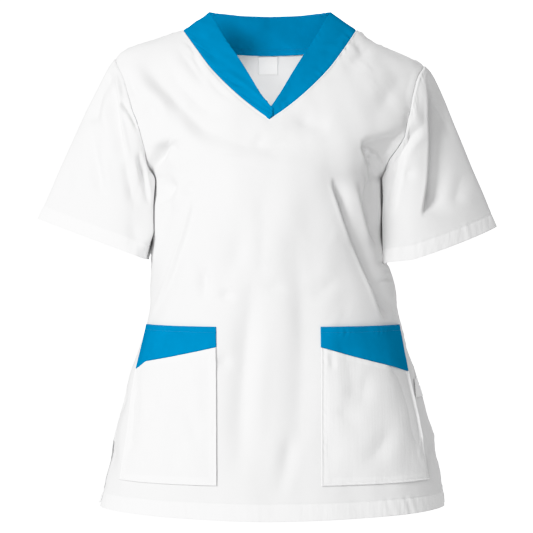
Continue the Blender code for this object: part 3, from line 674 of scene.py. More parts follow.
def neckline(facing, side):
    """From the centre out to the shoulder seam."""
    neck_x = NECK_HALF_WIDTH[side]
    x = neck_x * np.sin(FINE * np.pi / 2)
    if facing == "front":
        z = smooth_read(NECKLINE_COLUMNS, NECKLINE + ((neck_x, 0.0),), "z", x)
    else:
        z = BACK_NECK_Z * (1 - (x / neck_x) ** ROUNDNESS) ** (1 / ROUNDNESS)
    y = depth_at(facing, side, x, z)
    y[-1] = facing_sign(facing) * SEAM_GAP / 2
    return curve_of(side_sign(side) * x, y, z)


def blend_edges(low, high, inner, outer, across, up):
    """A grid of points between its lowest and highest rows and its inner and outer columns."""
    a, b = across[None, :, None], up[:, None, None]
    grid = (1 - a) * inner[:, None] + a * outer[:, None]
    grid += (1 - b) * (low[None] - (1 - a) * inner[0] - a * outer[0])
    grid += b * (high[None] - (1 - a) * inner[-1] - a * outer[-1])
    return grid


def near_line(flat, line, reach):
    """The points within reach of a line, their offsets and distances from it, and for each the
    line's direction and the share of its length there."""
    low, high = line.min(axis=0) - reach, line.max(axis=0) + reach
    near = np.flatnonzero(((flat > low) & (flat < high)).all(axis=1))
    starts, runs = line[:-1], np.diff(line, axis=0)
    lengths = np.linalg.norm(runs, axis=1)
    travelled = np.concatenate([[0], np.cumsum(lengths)])
    from_start = flat[near][:, None] - starts[None]
    t = np.clip((from_start * runs).sum(axis=2) / lengths**2, 0, 1)
    away = from_start - t[..., None] * runs
    distance = np.linalg.norm(away, axis=2)
    pick = distance.argmin(axis=1)
    rows = np.arange(len(near))
    share = (travelled[pick] + t[rows, pick] * lengths[pick]) / travelled[-1]
    return near, away[rows, pick], distance[rows, pick], runs[pick], share


def pull_of_creases(table, seen):
    """1 away from the sharp creases of a table, and up to 1 + SHARP_PULL on them."""
    flat = seen.reshape(-1, 2)
    pull = np.ones(len(flat))
    for crease in table:
        row = dict(zip(CREASE_COLUMNS, crease))
        if row.get("slide", 0) < SHARP_SLIDE:
            continue
        near, _, distance, _, share = near_line(flat, crease_line(row["path"]), 3 * SHARP_REACH)
        fade = soft_step(share / SHARP_FADE) * soft_step((1 - share) / SHARP_FADE)
        pull[near] += SHARP_PULL * fade * bell(distance, SHARP_REACH)
    return pull.reshape(seen.shape[:-1])


def draw_to_creases(grid, table, seen):
    """Slides a grid's points along their rows, so that its columns crowd at the sharp creases."""
    pull = pull_of_creases(table, seen)
    drawn = grid.copy()
    columns = np.arange(grid.shape[1])
    for index in np.flatnonzero(pull.max(axis=1) > 1.001):
        weight = (pull[index, 1:] + pull[index, :-1]) / 2
        run = np.concatenate([[0], np.cumsum(weight)])
        at = np.interp(columns / columns[-1], run / run[-1], columns)
        drawn[index] = read_at(at, columns, grid[index])
    return drawn


def half_panel(facing, side):
    """Points of half a panel, in rows from the hem up and in columns out from the centre."""
    across = np.concatenate([spaced(NECK_STOPS), spaced(SHOULDER_STOPS)[1:]]) / HALF_WIDTH
    heights = HEM_Z + spaced(LOW_STOPS)
    low = np.stack([along(body_section(facing, side, z), across) for z in heights])
    up = spaced(HIGH_STOPS) / HIGH_LENGTH
    top = two_runs(neckline(facing, side), shoulder_seam(facing, side), across, TURN_SHARE)
    armhole = along(armhole_edge(facing, side), up)
    high = blend_edges(low[-1], top, along(centre_line(facing), up), armhole, across, up)
    inside = high[1:-1, 1:-1]
    high[1:-1, 1:-1] = settle_on_body(inside.reshape(-1, 3)).reshape(inside.shape)
    return np.concatenate([low, high[1:]])


def panel_view(facing):
    """A panel's table of creases, and how its points are seen on the plane of their paths."""
    return (FRONT_CREASES, seen_from_front) if facing == "front" else (BACK_CREASES, seen_plainly)


def panel_form(facing):
    """A panel's grid of points, rows up from the hem, columns to the right as seen from outside."""
    table, view = panel_view(facing)
    halves = [half_panel(facing, side) for side in ("right", "left")]
    right, left = (draw_to_creases(half, table, view(half)) for half in halves)
    whole = np.concatenate([right[:, ::-1], left[:, 1:]], axis=1)
    return whole if facing == "front" else whole[:, ::-1]


def sleeve_ring(side, turn):
    """The sleeve's hem at these angles, from its outer end by its front to its inner end."""
    row = dict(zip(SLEEVE_COLUMNS, SLEEVES[side]))
    outer = np.array([row["outer_x"], 0, row["outer_z"]])
    inner = np.array([row["inner_x"], 0, row["inner_z"]])
    forward = np.array([0, -row["depth"] / 2, -row["front_drop"]])
    middle, half = (outer + inner) / 2, (outer - inner) / 2
    outward = np.clip((1 + np.cos(turn)) / 2, 0, 1)
    ahead = np.sign(np.sin(turn)) * SLEEVE_FULLNESS
    ahead *= outward**SLEEVE_INNER_POWER * (1 - outward) ** SLEEVE_OUTER_POWER
    return middle + np.cos(turn)[:, None] * half + ahead[:, None] * forward


def sleeve_form(side):
    """A sleeve's grid of points, rows up from the hem, columns round it from the shoulder tip."""
    share = spaced(SLEEVE_ROUND_STOPS) / SLEEVE_GIRTH
    turn = share * 2 * np.pi
    fall = 1 - spaced(SLEEVE_UP_STOPS)[:, None, None] / SLEEVE_LENGTH
    start = two_runs(armhole_edge("front", side, 0)[::-1], armhole_edge("back", side, 0), share)
    end = sleeve_ring(side, turn)
    row = dict(zip(SLEEVE_COLUMNS, SLEEVES[side]))
    axis_start = np.array([side_sign(side) * SLEEVE_AXIS_TOP_X, 0, SLEEVE_AXIS_TOP_Z])
    axis_end = np.array([(row["outer_x"] + row["inner_x"]) / 2, 0, SLEEVE_AXIS_LOW_Z])
    down = (axis_end - axis_start) / np.linalg.norm(axis_end - axis_start)
    spoke = end - axis_end
    spoke -= (spoke @ down)[:, None] * down
    spoke /= np.linalg.norm(spoke, axis=1)[:, None]
    stand = SLEEVE_STAND * (1 - ((1 - np.cos(turn)) / 2) ** 3)
    rise = (1 - np.exp(-fall / SLEEVE_STAND_RUN)) * (1 - fall)
    gap = SLEEVE_GAP_ALONG * down + SLEEVE_GAP_ACROSS * spoke * np.cos(turn)[:, None]
    points = start + (end - start) * fall + gap * (1 - fall)
    points = points + spoke * stand[:, None] * rise
    # The inner side lies against the body, and leaves it towards the hem.
    back = points[..., 1] > 0
    height = points[..., 2]
    reach = np.where(back, body_depth("back", height), body_depth("front", height))
    width = body_width(side, height)
    bend = np.clip(1 - np.abs(points[..., 1] / reach) ** ROUNDNESS, 0, 1) ** (1 / ROUNDNESS)
    in_line = (width - side_sign(side) * CAMERA_X) * (1 - points[..., 1] / CAMERA_Y)
    first, last = SLEEVE_SLIT[side]
    in_line += side_sign(side) * CAMERA_X + first + (last - first) * fall[..., 0] ** 2
    on_body = width * bend + SLEEVE_BODY_GAP
    beside = side_sign(side) * np.where(back, on_body, np.maximum(in_line, on_body))
    points[..., 0] += (beside - points[..., 0]) * lies_on_body(side, turn, fall, back)
    return points if side == "right" else points[:, ::-1]


def lies_on_body(side, turn, fall, back):
    """How far each point of a sleeve is laid against the body: 0 free, 1 on it."""
    inner = ((1 - np.cos(turn)) / 2)[None, :]
    inner = np.where(back, inner**3, soft_step((inner - CONTACT_FROM) / CONTACT_RUN))
    leaving = soft_step((fall[..., 0] - SLEEVE_LEAVES[side]) / LEAVING_RUN)
    at_seam = np.clip(1 - fall[..., 0] / SEAM_SHARE, 0, 1) ** 2
    return inner * (1 - leaving) * (1 - at_seam)


def band_edge(share):
    """The band's free edge, from the V (0) by the side (0.5) to the centre back (1)."""

    def run(first, last):
        at = first + (last - first) * FINE
        return curve_of(*(smooth_read(BAND_EDGE_COLUMNS, BAND_EDGE, axis, at) for axis in "xyz"))

    front, back = run(0, BAND_SIDE_KNOT), run(BAND_SIDE_KNOT, BAND_EDGE[-1][0])
    return two_runs(front, back, share)


def band_form():
    """Left end at the V, up the left side, round the back and down the right side to the V."""
    across = np.linspace(0, 1, BAND_COLUMNS + 1)
    up = spaced(BAND_UP_STOPS)[:, None] / BAND_DEPTH
    halves = []
    for side in ("left", "right"):
        here = across[across < 0.5] if side == "left" else across[across >= 0.5]
        share = here * 2 if side == "left" else 2 - here * 2
        seam = two_runs(neckline("front", side), neckline("back", side)[::-1], share)
        edge = band_edge(share)
        edge[:, 0] *= side_sign(side)
        first = SEAM_GAP / np.linalg.norm(edge - seam, axis=1)
        climb = first + (1 - first) * up
        points = seam + (edge - seam) * climb[..., None]
        if side == "right":
            lift = soft_step(1 - share / LAP_RUN_SHARE)
            corner = np.minimum(up / LAP_CORNER_SHARE - LAP_CORNER_BACK, 1)
            points[..., 0] += LAP_ACROSS * lift * corner
            points[..., 1] -= LAP_FORWARD * lift
            points[..., 2] += (LAP_UP * (1 - up) - LAP_DOWN * up) * lift
        halves.append(points)
    return np.concatenate(halves, axis=1)


def patch_form(corners, across, up, side, bend_low=0.0, bend_high=0.0):
    """Points on the body's front inside four corners, given as (x, z): low inner, low outer, high
    outer and high inner. `across` and `up` are shares. A bend lifts the low or high edge."""
    (x0, z0), (x1, z1), (x2, z2), (x3, z3) = corners
    u, v = across[None, :], up[:, None]

    def turn_at(x, z):
        beyond = np.minimum(np.abs(x) / body_width(side, z), 1 - 1e-7)
        return np.arcsin(beyond ** (ROUNDNESS / 2))

    inner_x, outer_x = x0 + (x3 - x0) * v, x1 + (x2 - x1) * v
    inner_z, outer_z = z0 + (z3 - z0) * v, z1 + (z2 - z1) * v
    z = inner_z + (outer_z - inner_z) * u
    for _ in range(PATCH_ROUNDS):
        first, last = turn_at(inner_x, z), turn_at(outer_x, z)
        turn = first + (last - first) * u
        x = side_sign(side) * body_width(side, z) * np.sin(turn) ** (2 / ROUNDNESS)
        share = np.clip((x - inner_x) / (outer_x - inner_x), 0, 1)
        bow = np.minimum(share / JOIN_BEND_SHARE, (1 - share) / (1 - JOIN_BEND_SHARE))
        bend = bend_low * (1 - v) + bend_high * v
        z = inner_z + (outer_z - inner_z) * share + bend * bow
    y = body_depth("front", z) * np.cos(turn) ** (2 / ROUNDNESS)
    points = np.stack([x, -np.maximum(y, seam_half_gap(z)), z], axis=2)
    return points if side == "left" else points[:, ::-1]


# ---------------------------------------------------------------------------------------------
# Cloth: runs and distances over a grid, creases, ripples and puckers
# ---------------------------------------------------------------------------------------------


RIPPLE_WAVES = 14
# How far the waves' lengths spread about the one that is asked for.
WAVE_SPREAD = (0.7, 1.7)
# A crease's reach in widths, how much it swells along its run, and the form of trough and lips.
CREASE_REACH = 3.2
CREASE_SWELL = 0.16
CREASE_POWER = 1.7
LIP_PLACE = 1.9
LIP_WIDTH = 0.95
PUCKER_SLANT = 0.25
PUCKER_CALM = 0.45
PUCKER_PATCH = 0.06
RIDGE_PLACE = 0.0022
RIDGE_WIDTH = 0.0014
DIP_WIDTH = 0.0008
HEM_GROOVE = 0.0005
HEM_SLANT = 0.35
HEM_CALM = 0.25
HEM_FULLNESS = 0.00035
HEM_PUCKER_SHARE = 0.35


def grid_runs(points):
    """How far each point is along its row and up its column, and the whole length of each."""
    row_steps = np.linalg.norm(np.diff(points, axis=1), axis=2)
    column_steps = np.linalg.norm(np.diff(points, axis=0), axis=2)
    across = np.concatenate([np.zeros((len(points), 1)), np.cumsum(row_steps, axis=1)], axis=1)
    up = np.concatenate([np.zeros((1, points.shape[1])), np.cumsum(column_steps, axis=0)], axis=0)
    return across, up


def grid_normals(points, wraps=False):
    """The outward direction of the cloth at each point of its grid."""
    if wraps:
        padded = np.concatenate([points[:, -2:-1], points, points[:, 1:2]], axis=1)
        across = (padded[:, 2:] - padded[:, :-2]) / 2
    else:
        across = np.gradient(points, axis=1)
    normals = np.cross(across, np.gradient(points, axis=0))
    return normals / np.maximum(np.linalg.norm(normals, axis=2), 1e-12)[..., None]


def ripples(across, up, size, seed, stretch=1.0):
    """Smooth unevenness of about -1 to 1, whose waves are about this long across the cloth."""
    rng = np.random.default_rng(sizes().seed * 1000 + seed)
    total = np.zeros(np.broadcast(across, up).shape)
    for _ in range(RIPPLE_WAVES):
        angle = rng.uniform(0, 2 * np.pi)
        length = size * rng.uniform(*WAVE_SPREAD)
        phase = rng.uniform(0, 2 * np.pi)
        run = across * np.cos(angle) + up * np.sin(angle) / stretch
        total += np.sin(2 * np.pi * run / length + phase)
    return total / math.sqrt(RIPPLE_WAVES)


def crease_line(path):
    """A smooth curve through a crease's path, in metres."""
    knots = np.array(path, float) / 1000
    padded = np.vstack([2 * knots[0] - knots[1], knots, 2 * knots[-1] - knots[-2]])
    pieces = []
    t = np.linspace(0, 1, 7)[:-1, None]
    for p0, p1, p2, p3 in zip(padded, padded[1:], padded[2:], padded[3:]):
        middle = 2 * p1 + (p2 - p0) * t + (2 * p0 - 5 * p1 + 4 * p2 - p3) * t**2
        pieces.append((middle + (3 * p1 - p0 - 3 * p2 + p3) * t**3) / 2)
    return np.vstack(pieces + [knots[-1:]])


def crease_moves(table, seen, seed=0):
    """How far a table's creases move the cloth out, and along the picture, where it is seen."""
    flat = seen.reshape(-1, 2)
    out = np.zeros(len(flat))
    aside = np.zeros((len(flat), 2))
    for index, crease in enumerate(table):
        row = dict(zip(CREASE_COLUMNS, crease))
        before, after = row["before"] / 1000, row["after"] / 1000
        slide = row.get("slide", 0) / 1000
        reach = CREASE_REACH * max(before, after, SLIDE_RUN if slide else 0)
        near, gap, distance, run, share = near_line(flat, crease_line(row["path"]), reach)
        side = np.sign(run[:, 0] * gap[:, 1] - run[:, 1] * gap[:, 0])
        u = side * distance / np.where(side > 0, after, before)
        fade = soft_step(share / row["fade"]) * soft_step((1 - share) / row["fade"])
        fade *= 1 + CREASE_SWELL * np.sin(9 * share + 2.4 * (index + seed))
        fade[(share <= 0) | (share >= 1)] = 0
        trough = np.exp(-(np.abs(u) ** CREASE_POWER))
        lips = row["lip_before"] * bell(u + LIP_PLACE, LIP_WIDTH)
        lips += row["lip_after"] * bell(u - LIP_PLACE, LIP_WIDTH)
        out[near] += row["depth"] / 1000 * fade * (lips - trough)
        if slide:
            toward_after = np.stack([-run[:, 1], run[:, 0]], axis=1)
            toward_after /= np.linalg.norm(run, axis=1)[:, None]
            push = slide * fade * bell(distance, np.where(side > 0, before, SLIDE_RUN))
            aside[near] += toward_after * push[:, None]
    strength = sizes().crease_strength
    return out.reshape(seen.shape[:-1]) * strength, aside.reshape(seen.shape) * strength


def moved(form, normals, out, aside):
    """Points moved out along their normals, and aside over the surface as seen in the picture."""
    across = np.stack([aside[..., 0], np.zeros(aside.shape[:-1]), aside[..., 1]], axis=-1)
    across -= normals * (across * normals).sum(axis=-1, keepdims=True)
    return form + normals * out[..., None] + across


def seen_from_front(points):
    """Where the camera sees each point, on the upright plane through the shoulders."""
    nearer = -CAMERA_Y / (points[..., 1] - CAMERA_Y)
    across = (points[..., 0] - CAMERA_X) * nearer + CAMERA_X
    up = (points[..., 2] - CAMERA_Z) * nearer + CAMERA_Z
    return np.stack([across, up], axis=-1)


def seen_plainly(points):
    """Where each point is on the upright plane, seen square to it."""
    return points[..., [0, 2]]


def waves_along(run, size, seed, waves=12):
    """Smooth unevenness of about -1 to 1 that varies in one direction only."""
    rng = np.random.default_rng(sizes().seed * 1000 + seed)
    lengths = rng.uniform(*WAVE_SPREAD, waves) * size
    phases = rng.uniform(0, 2 * np.pi, waves)
    total = np.zeros(run.shape)
    for length, phase in zip(lengths, phases):
        total += np.sin(2 * np.pi * run / length + phase)
    return total / math.sqrt(waves)


def puckers(run, distance, seed, reach=0.009, size=0.011):
    """Short dips square to a seam that die out away from it."""
    wave = waves_along(run + PUCKER_SLANT * distance, size, seed)
    strength = 1 - PUCKER_CALM + PUCKER_CALM * waves_along(run, PUCKER_PATCH, seed + 1)
    return sizes().pucker_depth * wave * strength * bell(distance, reach)


def seam_roll(distance, depth=0.0011, reach=0.0013):
    """The cloth rolls in where it is sewn."""
    return -depth * bell(distance, reach)


def seam_ridge(distance, height=0.0006, depth=0.0004):
    """The cloth stands up over its seam allowance and dips to the seam."""
    return height * bell(distance - RIDGE_PLACE, RIDGE_WIDTH) + seam_roll(distance, depth, DIP_WIDTH)


def tucked_under(points, normals, runs, edge):
    """Adds a row to a grid's first or last row, tucked under the cloth that it is sewn to."""
    across, up = runs
    at_end = edge == "last"
    outermost, before = (points[-1], points[-2]) if at_end else (points[0], points[1])
    onward = outermost - before
    onward /= np.linalg.norm(onward, axis=1)[:, None]
    outward = normals[-1] if at_end else normals[0]
    hidden = (outermost + TUCK_REACH * onward - TUCK_DEPTH * outward)[None]
    if at_end:
        grids = (points, hidden), (across, across[-1:]), (up, up[-1:] + TUCK_REACH)
    else:
        grids = (hidden, points), (across[:1], across), (up[:1] - TUCK_REACH, up)
    return tuple(np.concatenate(pair) for pair in grids)


def hem_marks(run, height, hem_depth, seed):
    """The groove of a hem's topstitching, and the slanting puckers between it and the edge."""
    line = -HEM_GROOVE * bell(height - hem_depth, 0.0016)
    inside = soft_step((hem_depth + 0.008 - height) / 0.008)
    slant = run + HEM_SLANT * height
    wave = waves_along(slant, 0.013, seed) + 0.6 * waves_along(slant, 0.026, seed + 3)
    calm = 1 - HEM_CALM + HEM_CALM * waves_along(run, 0.11, seed + 5)
    full = HEM_FULLNESS * inside
    return line + full + HEM_PUCKER_SHARE * sizes().pucker_depth * wave * calm * inside


# ---------------------------------------------------------------------------------------------
# Meshes
# ---------------------------------------------------------------------------------------------


def add_object(name, data):
    made = bpy.data.objects.new(name, data)
    bpy.context.scene.collection.objects.link(made)
    return made


def add_mesh(name, mesh, material):
    """A smooth object from a bmesh, which is used up."""
    data = bpy.data.meshes.new(name)
    mesh.to_mesh(data)
    mesh.free()
    data.materials.append(material)
    data.shade_smooth()
    return add_object(name, data)


def cloth_sheet(name, points, runs, material, thickness, doubled=None, wraps=False, shade=None):
    """A sheet of cloth on a grid of points, with a UV map in metres and a wall inwards.

    `doubled` is 1 where the wall is full and 0 where it is the single cloth's. `shade` is 1 where
    the cloth looks doubled, which is where it is doubled unless it is given.
    """
    rows, columns = points.shape[0] - 1, points.shape[1] - 1
    mesh = bmesh.new()
    bmesh.ops.create_grid(mesh, x_segments=columns, y_segments=rows, size=0.5)
    places = np.array([vertex.co.xy for vertex in mesh.verts]) + 0.5
    column = np.round(places[:, 0] * columns).astype(int)
    row = np.round(places[:, 1] * rows).astype(int)
    for vertex, point in zip(mesh.verts, points[row, column]):
        vertex.co = point
    uv = mesh.loops.layers.uv.new("cloth")
    flat = np.stack([run[row, column] for run in runs], axis=1).tolist()
    mesh.verts.index_update()
    for face in mesh.faces:
        for loop in face.loops:
            loop[uv].uv = flat[loop.vert.index]
    looks = doubled if shade is None else shade
    layer = mesh.verts.layers.float.new("layers")
    if looks is not None:
        for vertex, value in zip(mesh.verts, looks[row, column]):
            vertex[layer] = value
    share = None if doubled is None else doubled[row, column]
    if wraps:
        bmesh.ops.remove_doubles(mesh, verts=mesh.verts, dist=1e-6)
        share = np.array([vertex[layer] for vertex in mesh.verts])
    obj = add_mesh(name, mesh, material)
    wall = obj.modifiers.new("wall", "SOLIDIFY")
    wall.thickness = thickness
    wall.offset = -1
    wall.use_even_offset = False
    if share is not None:
        group = obj.vertex_groups.new(name="doubled")
        share = np.round(share, 2)
        for value in np.unique(share):
            group.add(np.flatnonzero(share == value).tolist(), float(value), "REPLACE")
        wall.vertex_group = "doubled"
        wall.thickness_vertex_group = sizes().cloth / thickness
    return obj


def stitch_row(mesh, points, normals):
    """Adds one stitch after another along a run of points, lying on the cloth."""
    length = np.linalg.norm(np.diff(points, axis=0), axis=1).sum()
    pitch = sizes().stitch_pitch
    count = int(length / pitch)
    if count < 1:
        return
    starts = (np.arange(count) * pitch + (length - count * pitch) / 2) / length
    ends = starts + sizes().stitch_length / length
    first, last = along(points, starts), along(points, ends)
    outs = along(points, (starts + ends) / 2, normals)
    for begin, end, out in zip(first, last, outs):
        run = Vector(end - begin)
        up = Vector(out).normalized()
        side = run.cross(up).normalized()
        up = side.cross(run).normalized()
        middle = Vector((begin + end) / 2) + up * sizes().thread * 0.25
        turn = Matrix((run.normalized(), side, up)).transposed().to_4x4()
        size = Matrix.Diagonal((run.length / 2, sizes().thread / 2, sizes().thread / 2, 1))
        place = Matrix.Translation(middle) @ turn @ size
        bmesh.ops.create_icosphere(mesh, subdivisions=1, radius=1.0, matrix=place)


def stitch_object(name, rows, colour_name):
    """One object for a group of stitch rows, each given as its points and outward directions."""
    whole = bmesh.new()
    for points, normals in rows:
        part = bmesh.new()
        stitch_row(part, points, normals)
        data = bpy.data.meshes.new("row")
        part.to_mesh(data)
        part.free()
        whole.from_mesh(data)
        bpy.data.meshes.remove(data)
    obj = add_mesh(name, whole, thread_material(colour_name))
    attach(obj, "root")


def line_at_run(values, runs, distance, axis=0):
    """Values where the run along an axis of the grid reaches a distance, one for each line."""
    if axis == 1:
        values, runs = values.transpose(1, 0, 2), runs.T
    lines = zip(runs.T, values.transpose(1, 0, 2))
    return np.array([read_at([distance], run, line)[0] for run, line in lines])


def stitch_line(points, normals, runs, distance, axis=0):
    """A row of stitches along a grid: its points and the outward directions there."""
    return tuple(line_at_run(values, runs, distance, axis) for values in (points, normals))


def declare_cloth(obj, node):
    """Attaches the piece to the root, and hides the frame's solid that stands for it."""
    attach(obj, "root")
    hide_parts(node)


# ---------------------------------------------------------------------------------------------
# Materials
# ---------------------------------------------------------------------------------------------


# Across and up the cloth, in waves to the metre, and the depth of the material's puckers.
PUCKER_SCALE = (150.0, 16.0, 1.0)
PUCKER_BUMP = 0.0008
# Each cloth's threads, crumples, surface and unevenness. Cloth that isn't doubled is darkened to
# its single_layer, because more light goes through it.
CLOTH_LOOKS = {
    "white": {
        "pitch": 0.0005, "weave": 0.35, "crumple": 0.0006, "roughness": 0.9, "sheen": 0.05,
        "specular": 0.15, "variation": 0.015, "single_layer": 0.92,
    },
    "blue": {
        "pitch": 0.0005, "weave": 0.40, "crumple": 0.0006, "roughness": 0.9, "sheen": 0.0,
        "specular": 0.0, "variation": 0.08, "single_layer": 1.0,
    },
    "label": {
        "pitch": 0.0003, "weave": 0.30, "crumple": 0.0002, "roughness": 0.6, "sheen": 0.0,
        "specular": 0.3, "variation": 0.02, "single_layer": 1.0,
    },
}


def node(tree, kind, fed=None, settings=None, **numbers):
    """A shader node with its settings, and with numbers and other nodes' outputs on its inputs.

    `fed` gives, for an input's name or place, the node and the output that feed it.
    """
    made = tree.nodes.new(kind)
    for name, value in (settings or {}).items():
        setattr(made, name, value)
    for name, value in numbers.items():
        made.inputs[name.replace("_", " ")].default_value = value
    for name, (source, output) in (fed or {}).items():
        tree.links.new(source.outputs[output], made.inputs[name])
    return made


def new_surface(name, **numbers):
    """A new material, its tree and its surface shader with these numbers on its inputs."""
    material = bpy.data.materials.new(name)
    material.use_nodes = True
    shader = material.node_tree.nodes["Principled BSDF"]
    for socket, value in numbers.items():
        shader.inputs[socket.replace("_", " ")].default_value = value
    return material, material.node_tree, shader


def noise_node(tree, place, scale, detail, roughness=0.5):
    return node(
        tree, "ShaderNodeTexNoise", {"Vector": place}, Scale=scale, Detail=detail, Roughness=roughness
    )


def colour_ramp(tree, source, colour, darkening, low=0.0, high=1.0):
    """The colour, darkened by a share of itself where the source is low."""
    made = node(tree, "ShaderNodeValToRGB", {"Fac": (source, "Fac")})
    dark, light = made.color_ramp.elements
    dark.position, light.position = low, high
    dark.color = (*[channel * (1 - darkening) for channel in colour], 1.0)
    light.color = (*colour, 1.0)
    return made


def cloth_material(kind):
    """Woven cloth: threads on the piece's own UV map, soft crumples, and a little uneven colour.

    The name differs from the frame's own materials, which are named after their slots.
    """
    name = f"woven_{kind}"
    if name in bpy.data.materials:
        return bpy.data.materials[name]
    look = CLOTH_LOOKS[kind]
    material, tree, shader = new_surface(
        name, Roughness=look["roughness"], Sheen_Weight=look["sheen"], Sheen_Roughness=0.5,
        Specular_IOR_Level=look["specular"],
    )
    uv = node(tree, "ShaderNodeUVMap", settings={"uv_map": "cloth"})
    place = node(tree, "ShaderNodeTexCoord"), "Object"
    layers = node(tree, "ShaderNodeAttribute", settings={"attribute_name": "layers"})
    soft = noise_node(tree, place, 38.0, 5.0, 0.55)
    fine = noise_node(tree, place, 240.0, 3.0, 0.6)

    # A band wave repeats every 2 pi / 20 of its scaled coordinate.
    scale = 2 * math.pi / 20 / look["pitch"]
    warp, weft = (
        node(
            tree, "ShaderNodeTexWave", {"Vector": (uv, "UV")}, {"bands_direction": direction},
            Scale=scale, Distortion=0.6, Detail=1.0, Detail_Scale=0.3,
        )
        for direction in "XY"
    )
    multiply, subtract = {"operation": "MULTIPLY"}, {"operation": "SUBTRACT"}
    woven = node(tree, "ShaderNodeMath", {0: (warp, "Fac"), 1: (weft, "Fac")}, multiply)

    # Fine puckers across the hems and the other doubled edges
    drawn = node(tree, "ShaderNodeVectorMath", {0: (uv, "UV")}, multiply)
    drawn.inputs[1].default_value = PUCKER_SCALE
    gather = noise_node(tree, (drawn, "Vector"), 1.0, 2.0)
    level = node(tree, "ShaderNodeMath", {0: (gather, "Fac")}, subtract)
    level.inputs[1].default_value = 0.5
    held = node(tree, "ShaderNodeMath", {0: (level, "Value"), 1: (layers, "Fac")}, multiply)

    normal = {}
    for height, strength, distance in (
        ((held, "Value"), 1.0, PUCKER_BUMP),
        ((soft, "Fac"), 0.5, look["crumple"]),
        ((fine, "Fac"), 0.4, 0.00012),
        ((woven, "Value"), look["weave"], 0.00008),
    ):
        fed = {"Height": height, **normal}
        bump = node(tree, "ShaderNodeBump", fed, Strength=strength, Distance=distance)
        normal = {"Normal": (bump, "Normal")}
    tree.links.new(bump.outputs["Normal"], shader.inputs["Normal"])

    shade = colour_ramp(tree, soft, getattr(colours(), kind), look["variation"], 0.3, 0.7)
    thin = node(
        tree, "ShaderNodeMapRange", {"Value": (layers, "Fac")}, To_Min=look["single_layer"], To_Max=1.0
    )
    sheer = node(
        tree, "ShaderNodeVectorMath", {"Vector": (shade, "Color"), "Scale": (thin, "Result")},
        {"operation": "SCALE"},
    )
    mixed = node(
        tree, "ShaderNodeMix", {"A": (sheer, "Vector"), "B": (woven, "Value")},
        {"data_type": "RGBA", "blend_type": "MULTIPLY"}, Factor=0.06,
    )
    tree.links.new(mixed.outputs["Result"], shader.inputs["Base Color"])
    return material


def thread_material(kind):
    """Twisted sewing thread, with its plies across each stitch."""
    name = f"{kind}_thread"
    if name in bpy.data.materials:
        return bpy.data.materials[name]
    material, tree, shader = new_surface(name, Roughness=0.6, Sheen_Weight=0.1)
    noise = noise_node(tree, (node(tree, "ShaderNodeTexCoord"), "Object"), 2400.0, 2.0)
    shade = colour_ramp(tree, noise, getattr(colours(), kind), 0.1)
    tree.links.new(shade.outputs["Color"], shader.inputs["Base Color"])
    bump = node(tree, "ShaderNodeBump", {"Height": (noise, "Fac")}, Strength=0.4, Distance=0.0001)
    tree.links.new(bump.outputs["Normal"], shader.inputs["Normal"])
    return material


# ---------------------------------------------------------------------------------------------
# Pieces
# ---------------------------------------------------------------------------------------------


# Where each piece's pattern of unevenness starts in the run of patterns.
SEEDS = {
    "front": 100, "back": 200, "right_sleeve": 300, "left_sleeve": 400, "band": 500,
    "right_pocket": 600, "left_pocket": 700, "label": 800,
}
# A panel's unevenness: height, length of the waves and their stretch up the cloth.
PANEL_RIPPLES = ((0.0012, 0.150, 1.8), (0.0006, 0.050, 1.6))
FINE_RIPPLE = 0.00012
SIDE_WAVE = 0.0011


def side_inset(facing, form, to_side):
    """How far a panel's side edges are drawn in, at their nicks and down the front's slits."""
    height = form[..., 2]
    inset = np.zeros(height.shape)
    for side, at, half, depth in EDGE_NICKS:
        nick = np.clip(1 - np.abs(height - at) / half, 0, 1) * depth
        inset += np.where(form[..., 0] * side_sign(side) > 0, nick, 0)
    inset *= bell(to_side, 0.012)
    if facing == "front":
        inset += SLIT_INSET * soft_step((SLIT_TOP_Z - height) / 0.02) * bell(to_side, 0.020)
    return inset


